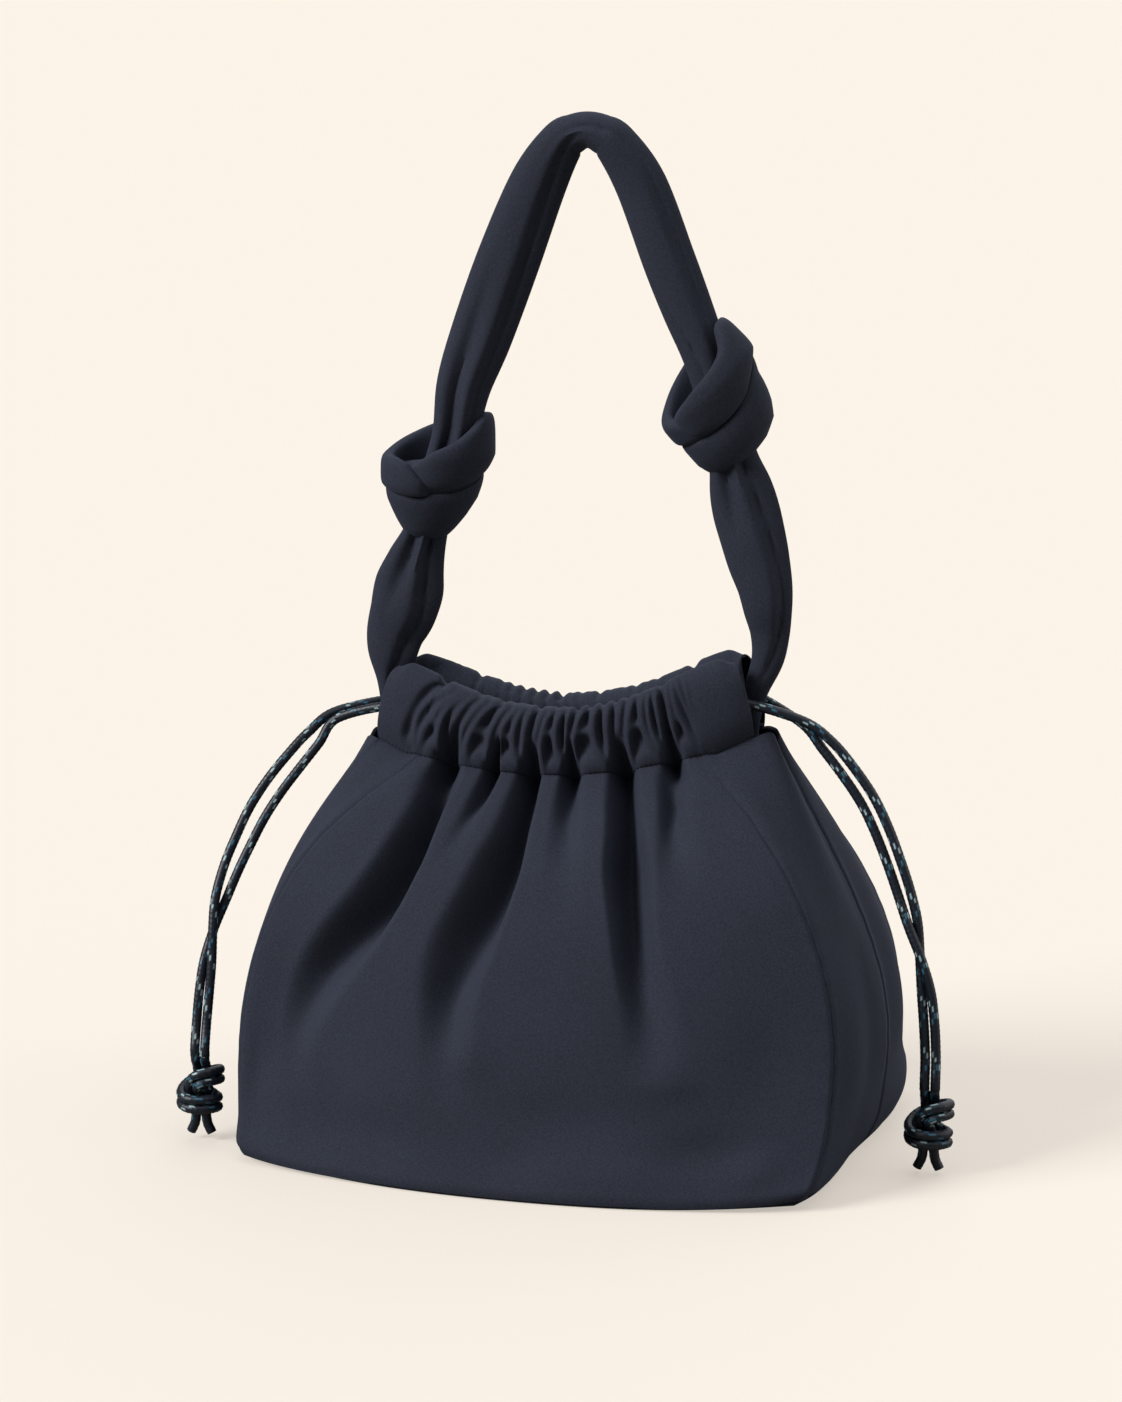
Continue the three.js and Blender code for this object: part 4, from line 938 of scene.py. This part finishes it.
# column of the place, reach and ledge of each lengthwise fold in the strap
STRAP_FOLDS = ((5, 0.09, 1.1), (7, 0.28, 0.0), (9, 0.09, 1.0))
BAND_SIDES, BAND_THICKNESS, BAND_PACE, EDGE_SQUARE, FACE_SQUARE, KNOT_FLAT = 48, 3.4, 0.4, 0.62, 0.6, 0.78


def signed_power(value, power):
    """Power of a value that keeps its sign, which squares off a round section."""
    return np.sign(value) * np.abs(value) ** power


def strap_band(name, rows):
    """Flattened cloth tube. Each row gives x, z, half width, half thickness and the place and depth of a
    crisp fold, of a soft valley and of a second crisp fold, all lengthwise on both faces. What a row leaves
    out is nought."""
    rows = np.array([tuple(row) + (0,) * (STRAP_COLUMNS - len(row)) for row in rows], float)
    line = smooth_line(np.column_stack([rows[:, 0], np.zeros(len(rows)), rows[:, 1]]), 1.0, rows[:, 2:])
    middle, wide, thick = line[:, :3], line[:, 3:4], line[:, 4:5]
    tangents = unit(np.gradient(middle, axis=0))
    across = np.stack([tangents[:, 2], 0 * tangents[:, 1], -tangents[:, 0]], -1)
    angle = 2 * math.pi * np.arange(STRAP_SIDES) / STRAP_SIDES
    u = signed_power(np.cos(angle), STRAP_SQUARE)[None, :]
    v = np.sin(angle)[None, :]
    sink = np.zeros((len(middle), STRAP_SIDES))
    for column, reach, ledge in STRAP_FOLDS:
        at, low = line[:, column:column + 1], line[:, column + 1:column + 2]
        sink = sink + low * np.exp(-np.abs((u - at) / reach) ** 1.5)
        sink = sink + ledge * low * smoothstep((u - at) * np.where(at < 0, -1, 1), 0.0, 0.1)
    deep = v * thick - np.sign(v) * np.minimum(sink, thick * 1.2) * np.abs(v) ** 0.6
    points = middle[:, None, :] + (u * wide)[..., None] * across[:, None, :]
    points[..., 1] -= deep
    return cloth_piece(name, points, rings_faces(len(middle), STRAP_SIDES), cloth)


arch = strap_band("strap_arch_cloth", [
    (-57, 288, 9, 9.4, 0.62, 1.5, -0.1, 5), (-51, 306, 10, 9.4, 0.60, 1.8, -0.1, 5),
    (-47, 327, 12, 8.8, 0.56, 2.2, -0.14, 4.2), (-39, 349, 13.6, 8.1, 0.54, 2.4, -0.2, 2.5),
    (-27, 381, 13.8, 8.1, 0.50, 2.4, -0.25, 0.3), (-14, 413, 12.3, 8.4, 0.42, 2.2, 0, 0, -0.1),
    (-4, 430, 9.8, 9.4, 0.30, 1.8, 0, 0, -0.1, 0.5), (2, 434.5, 8.2, 9.4, 0.20, 1.2, 0, 0, -0.15, 1),
    (8, 436, 7.6, 9.4, 0.10, 0.3, 0, 0, -0.2, 1.4), (14, 434.3, 8.2, 9.4, 0.1, 0, 0, 0, -0.3, 1.6),
    (20, 430, 9.3, 9.4, 0.1, 0, 0, 0, -0.4, 1.8), (31, 413, 11, 8.4, 0.9, 0, 0, 0, -0.5, 2),
    (43, 382, 11.4, 8.1, 0.75, 1, 0, 0, -0.56, 2), (51, 362, 11, 8.4, 0.45, 1.8, 0, 0, -0.6, 1.8),
    (58, 345, 10, 9.4, 0.15, 2.4, 0, 0, -0.62, 1.4), (63, 330, 9.5, 9.4, 0.1, 2.5, 0, 0, -0.62, 1.2),
    (66, 318, 9, 9.4, 0.1, 2.5, 0, 0, -0.62, 1),
])
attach(arch, "handle")
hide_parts("strap_arch")

VIEW_RIGHT = np.array([math.cos(AZIMUTH), math.sin(AZIMUTH), 0.0])
VIEW_UP = np.array([0.0, 0.0, 1.0])
VIEW_BACK = np.array([math.sin(AZIMUTH), -math.cos(AZIMUTH), 0.0])


def knot_points(centre, tilt, egg, turn, height, reach):
    """Points by a knot's egg-shaped outside, from the turn off the front, the height and the reach out."""
    egg = np.array(egg, float)
    shift, wide = (np.interp(height, egg[::-1, 0], egg[::-1, column]) for column in (1, 2))
    right = shift + (wide + reach) * np.sin(turn)
    towards = (KNOT_FLAT * wide + reach) * np.cos(turn)
    lean, rise = math.cos(math.radians(tilt)), math.sin(math.radians(tilt))
    across_view, up_view = right * lean - height * rise, right * rise + height * lean
    return centre + (across_view[..., None] * VIEW_RIGHT + up_view[..., None] * VIEW_UP
                     + towards[..., None] * VIEW_BACK)


def knot_band(name, centre, tilt, egg, steps):
    """Flat band of the strap wound round a knot. Each step gives degrees round from the front, the heights
    of the lower and the upper edge, and how far it lies over the bands below it."""
    steps = np.array(steps, float)
    line = smooth_line(steps[:, :3] * (BAND_PACE, 1, 1), 0.8, steps[:, 3:])
    turn = np.radians(line[:, :1] / BAND_PACE)
    middle, half = (line[:, 1:2] + line[:, 2:3]) / 2, (line[:, 2:3] - line[:, 1:2]) / 2
    angle = 2 * math.pi * np.arange(BAND_SIDES) / BAND_SIDES
    across = signed_power(np.cos(angle), EDGE_SQUARE)[None, :]
    out = signed_power(np.sin(angle), FACE_SQUARE)[None, :]
    reach = line[:, 3:4] + np.minimum(BAND_THICKNESS, 0.9 * half) * out - BAND_THICKNESS
    points = knot_points(centre, tilt, egg, turn, middle + half * across, reach)
    return cloth_piece(name, points, rings_faces(len(line), BAND_SIDES), cloth)


def knot_core(name, centre, tilt, egg):
    """The part of the strap that lies inside a knot, seen only between its bands."""
    rows = smooth_line([(height, reach, 0) for height, reach in CORE_ROWS], 1.0)
    turn = 2 * math.pi * np.arange(BAND_SIDES)[None, :] / BAND_SIDES
    points = knot_points(centre, tilt, egg, turn, rows[:, :1] + 0 * turn, rows[:, 1:2])
    return cloth_piece(name, points, rings_faces(len(rows), BAND_SIDES), cloth)


CORE_ROWS = [(-26, -6), (-21, -3.4), (-13, -2.6), (-5, -2.4), (0, -2.8), (3, -4.6), (5, -8), (6, -13)]
KNOTS = {
    # centre and tilt, then height, sideways shift and half width of the whole knot from its top down, and
    # the steps of the band that turns over its front and of the one that lies below as a bowl
    "left": (np.array([-58.5, 0.0, 288.0]), 0, [
        (28, 0, 24.3), (9, 0, 24.3), (-3, -2.3, 22.2), (-10, -2.7, 19.8), (-17, -3.5, 16), (-24, -4.5, 11.5),
        (-28, -4, 8),
    ], [
        (-52, -1, 5, -3.5), (-29, -3.5, 6.2, -1.8), (-7, -4.4, 11.5, 0), (18, -4.8, 15.5, 0.6),
        (44, -3, 21.5, 0.6), (62, -1, 25.6, 0.4), (90, 1.7, 27, 0.2), (140, 1, 25, 0), (180, -2, 21, 0),
        (215, -3, 16, 0), (250, -4, 11, 0.4), (275, -4.5, 9.5, 0.8), (300, -6, 8.9, 1.4), (320, -7, 7.3, 1.8),
        (332, -7.6, 4.6, 1.8), (346, -7.6, 0, 1.2), (358, -7, -4, -0.6), (366, -6.6, -5.2, -3),
    ], [
        (-180, -27, 0.5, -1), (-130, -27, -1, -0.6), (-80, -27, -4, 0), (-45, -27.4, -6.5, 0),
        (-15, -27.4, -7.8, 0), (-2, -27.4, -6.3, 0), (20, -27, -6, 0), (45, -27, -4.3, 0),
        (75, -27, -0.9, -0.2), (110, -27, 3, -1), (180, -27, 0.5, -1),
    ]),
    "right": (np.array([64.4, 0.0, 328.5]), 44, [
        (22, -1, 24.6), (3, -2, 26), (-6, -5, 23.5), (-12, -5.6, 22.6), (-18, -6.9, 21.4), (-24, -8, 18.5),
        (-28, -9, 12.8), (-30, -9, 5),
    ], [
        (-72, -3, 3, -4), (-55, -5, 5, -2), (-35, -7.5, 7.2, 0.4), (-16, -9, 9, 1), (3, -9.8, 9.8, 1),
        (20, -9.3, 11, 1), (39, -7.6, 13.8, 0.8), (60, -3, 20.5, 0.4), (82, 1.6, 21.6, 0.2), (105, 1, 21, 0),
        (140, -0.5, 19.5, 0), (180, -2, 16.5, 0), (210, -4, 13.4, 0), (240, -5, 9.4, 0.2),
        (265, -5.6, 6.8, 0.4), (285, -6.4, 5, 0.4), (305, -8, 2.5, -0.4), (322, -9, -2, -1.6),
        (338, -9.6, -6.5, -3.4),
    ], [
        (-180, -29, 0, -1), (-130, -29, -3, -0.6), (-77, -29, -6.3, 0), (-40, -29.4, -8.6, 0),
        (-15, -29.6, -10, 0), (10, -29.6, -10, 0), (30, -29.4, -8, 0), (49, -29, -5.6, 0),
        (75, -29, -1.6, -0.4), (110, -29, 3, -1), (180, -29, 0, -1),
    ]),
}
for side, (centre, tilt, egg, turn, bowl) in KNOTS.items():
    upper = knot_band(f"strap_knot_turn_{side}", centre, tilt, egg, turn)
    lower = knot_band(f"strap_knot_bowl_{side}", centre, tilt, egg, bowl)
    core = knot_core(f"strap_knot_core_{side}", centre, tilt, egg)
    for part in (upper, lower, core):
        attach(part, "handle")
        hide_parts("strap_knot_" + side)

LEGS = {
    "left": [
        (-81, 168, 4.5, 3.0), (-81, 182, 4.5, 3.4), (-81.5, 195, 5.6, 4.8, 0.1, 1),
        (-80.5, 206, 10.5, 6.0, 0.25, 2), (-79, 217, 13, 6.5, 0.42, 2.6, -0.3),
        (-75, 228, 15, 8.5, 0.50, 3, -0.35, 1), (-72, 239, 15.5, 8.5, 0.42, 3.2, -0.25, 2.6),
        (-69, 249.5, 13, 9.1, 0.36, 3.6, -0.2, 4.6), (-65, 261, 10, 9.8, 0.3, 4.2, -0.25, 5),
        (-62, 272, 9, 10.4, 0.3, 4.5, -0.3, 5),
    ],
    "right": [
        (79.5, 172, 4.4, 3.0), (79.5, 186, 4.4, 3.2), (82.2, 200, 5.2, 3.8), (87, 214, 7, 5.0, 0.2, 1.2),
        (88, 225, 8.5, 5.5, 0.4, 1.8), (87, 235.5, 10.5, 7.8, 0.55, 2.4), (85.5, 246, 12, 8.5, 0.56, 2.8),
        (82.7, 256.6, 13.5, 8.5, 0.53, 3, -0.3), (80, 267, 14.2, 8.5, 0.48, 3, -0.3, 0.5),
        (77, 278, 14.5, 8.5, 0.42, 3, -0.28, 2), (74.5, 288, 13.5, 9.1, 0.36, 3, -0.25, 3.5),
        (72, 298, 11, 9.8, 0.3, 3, -0.25, 5), (70, 308, 9, 10.4, 0.3, 3, -0.25, 5),
    ],
}
for side, rows in LEGS.items():
    leg = strap_band("strap_leg_cloth_" + side, rows)
    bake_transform(leg)
    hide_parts("strap_leg_" + side, "strap_end_" + side)
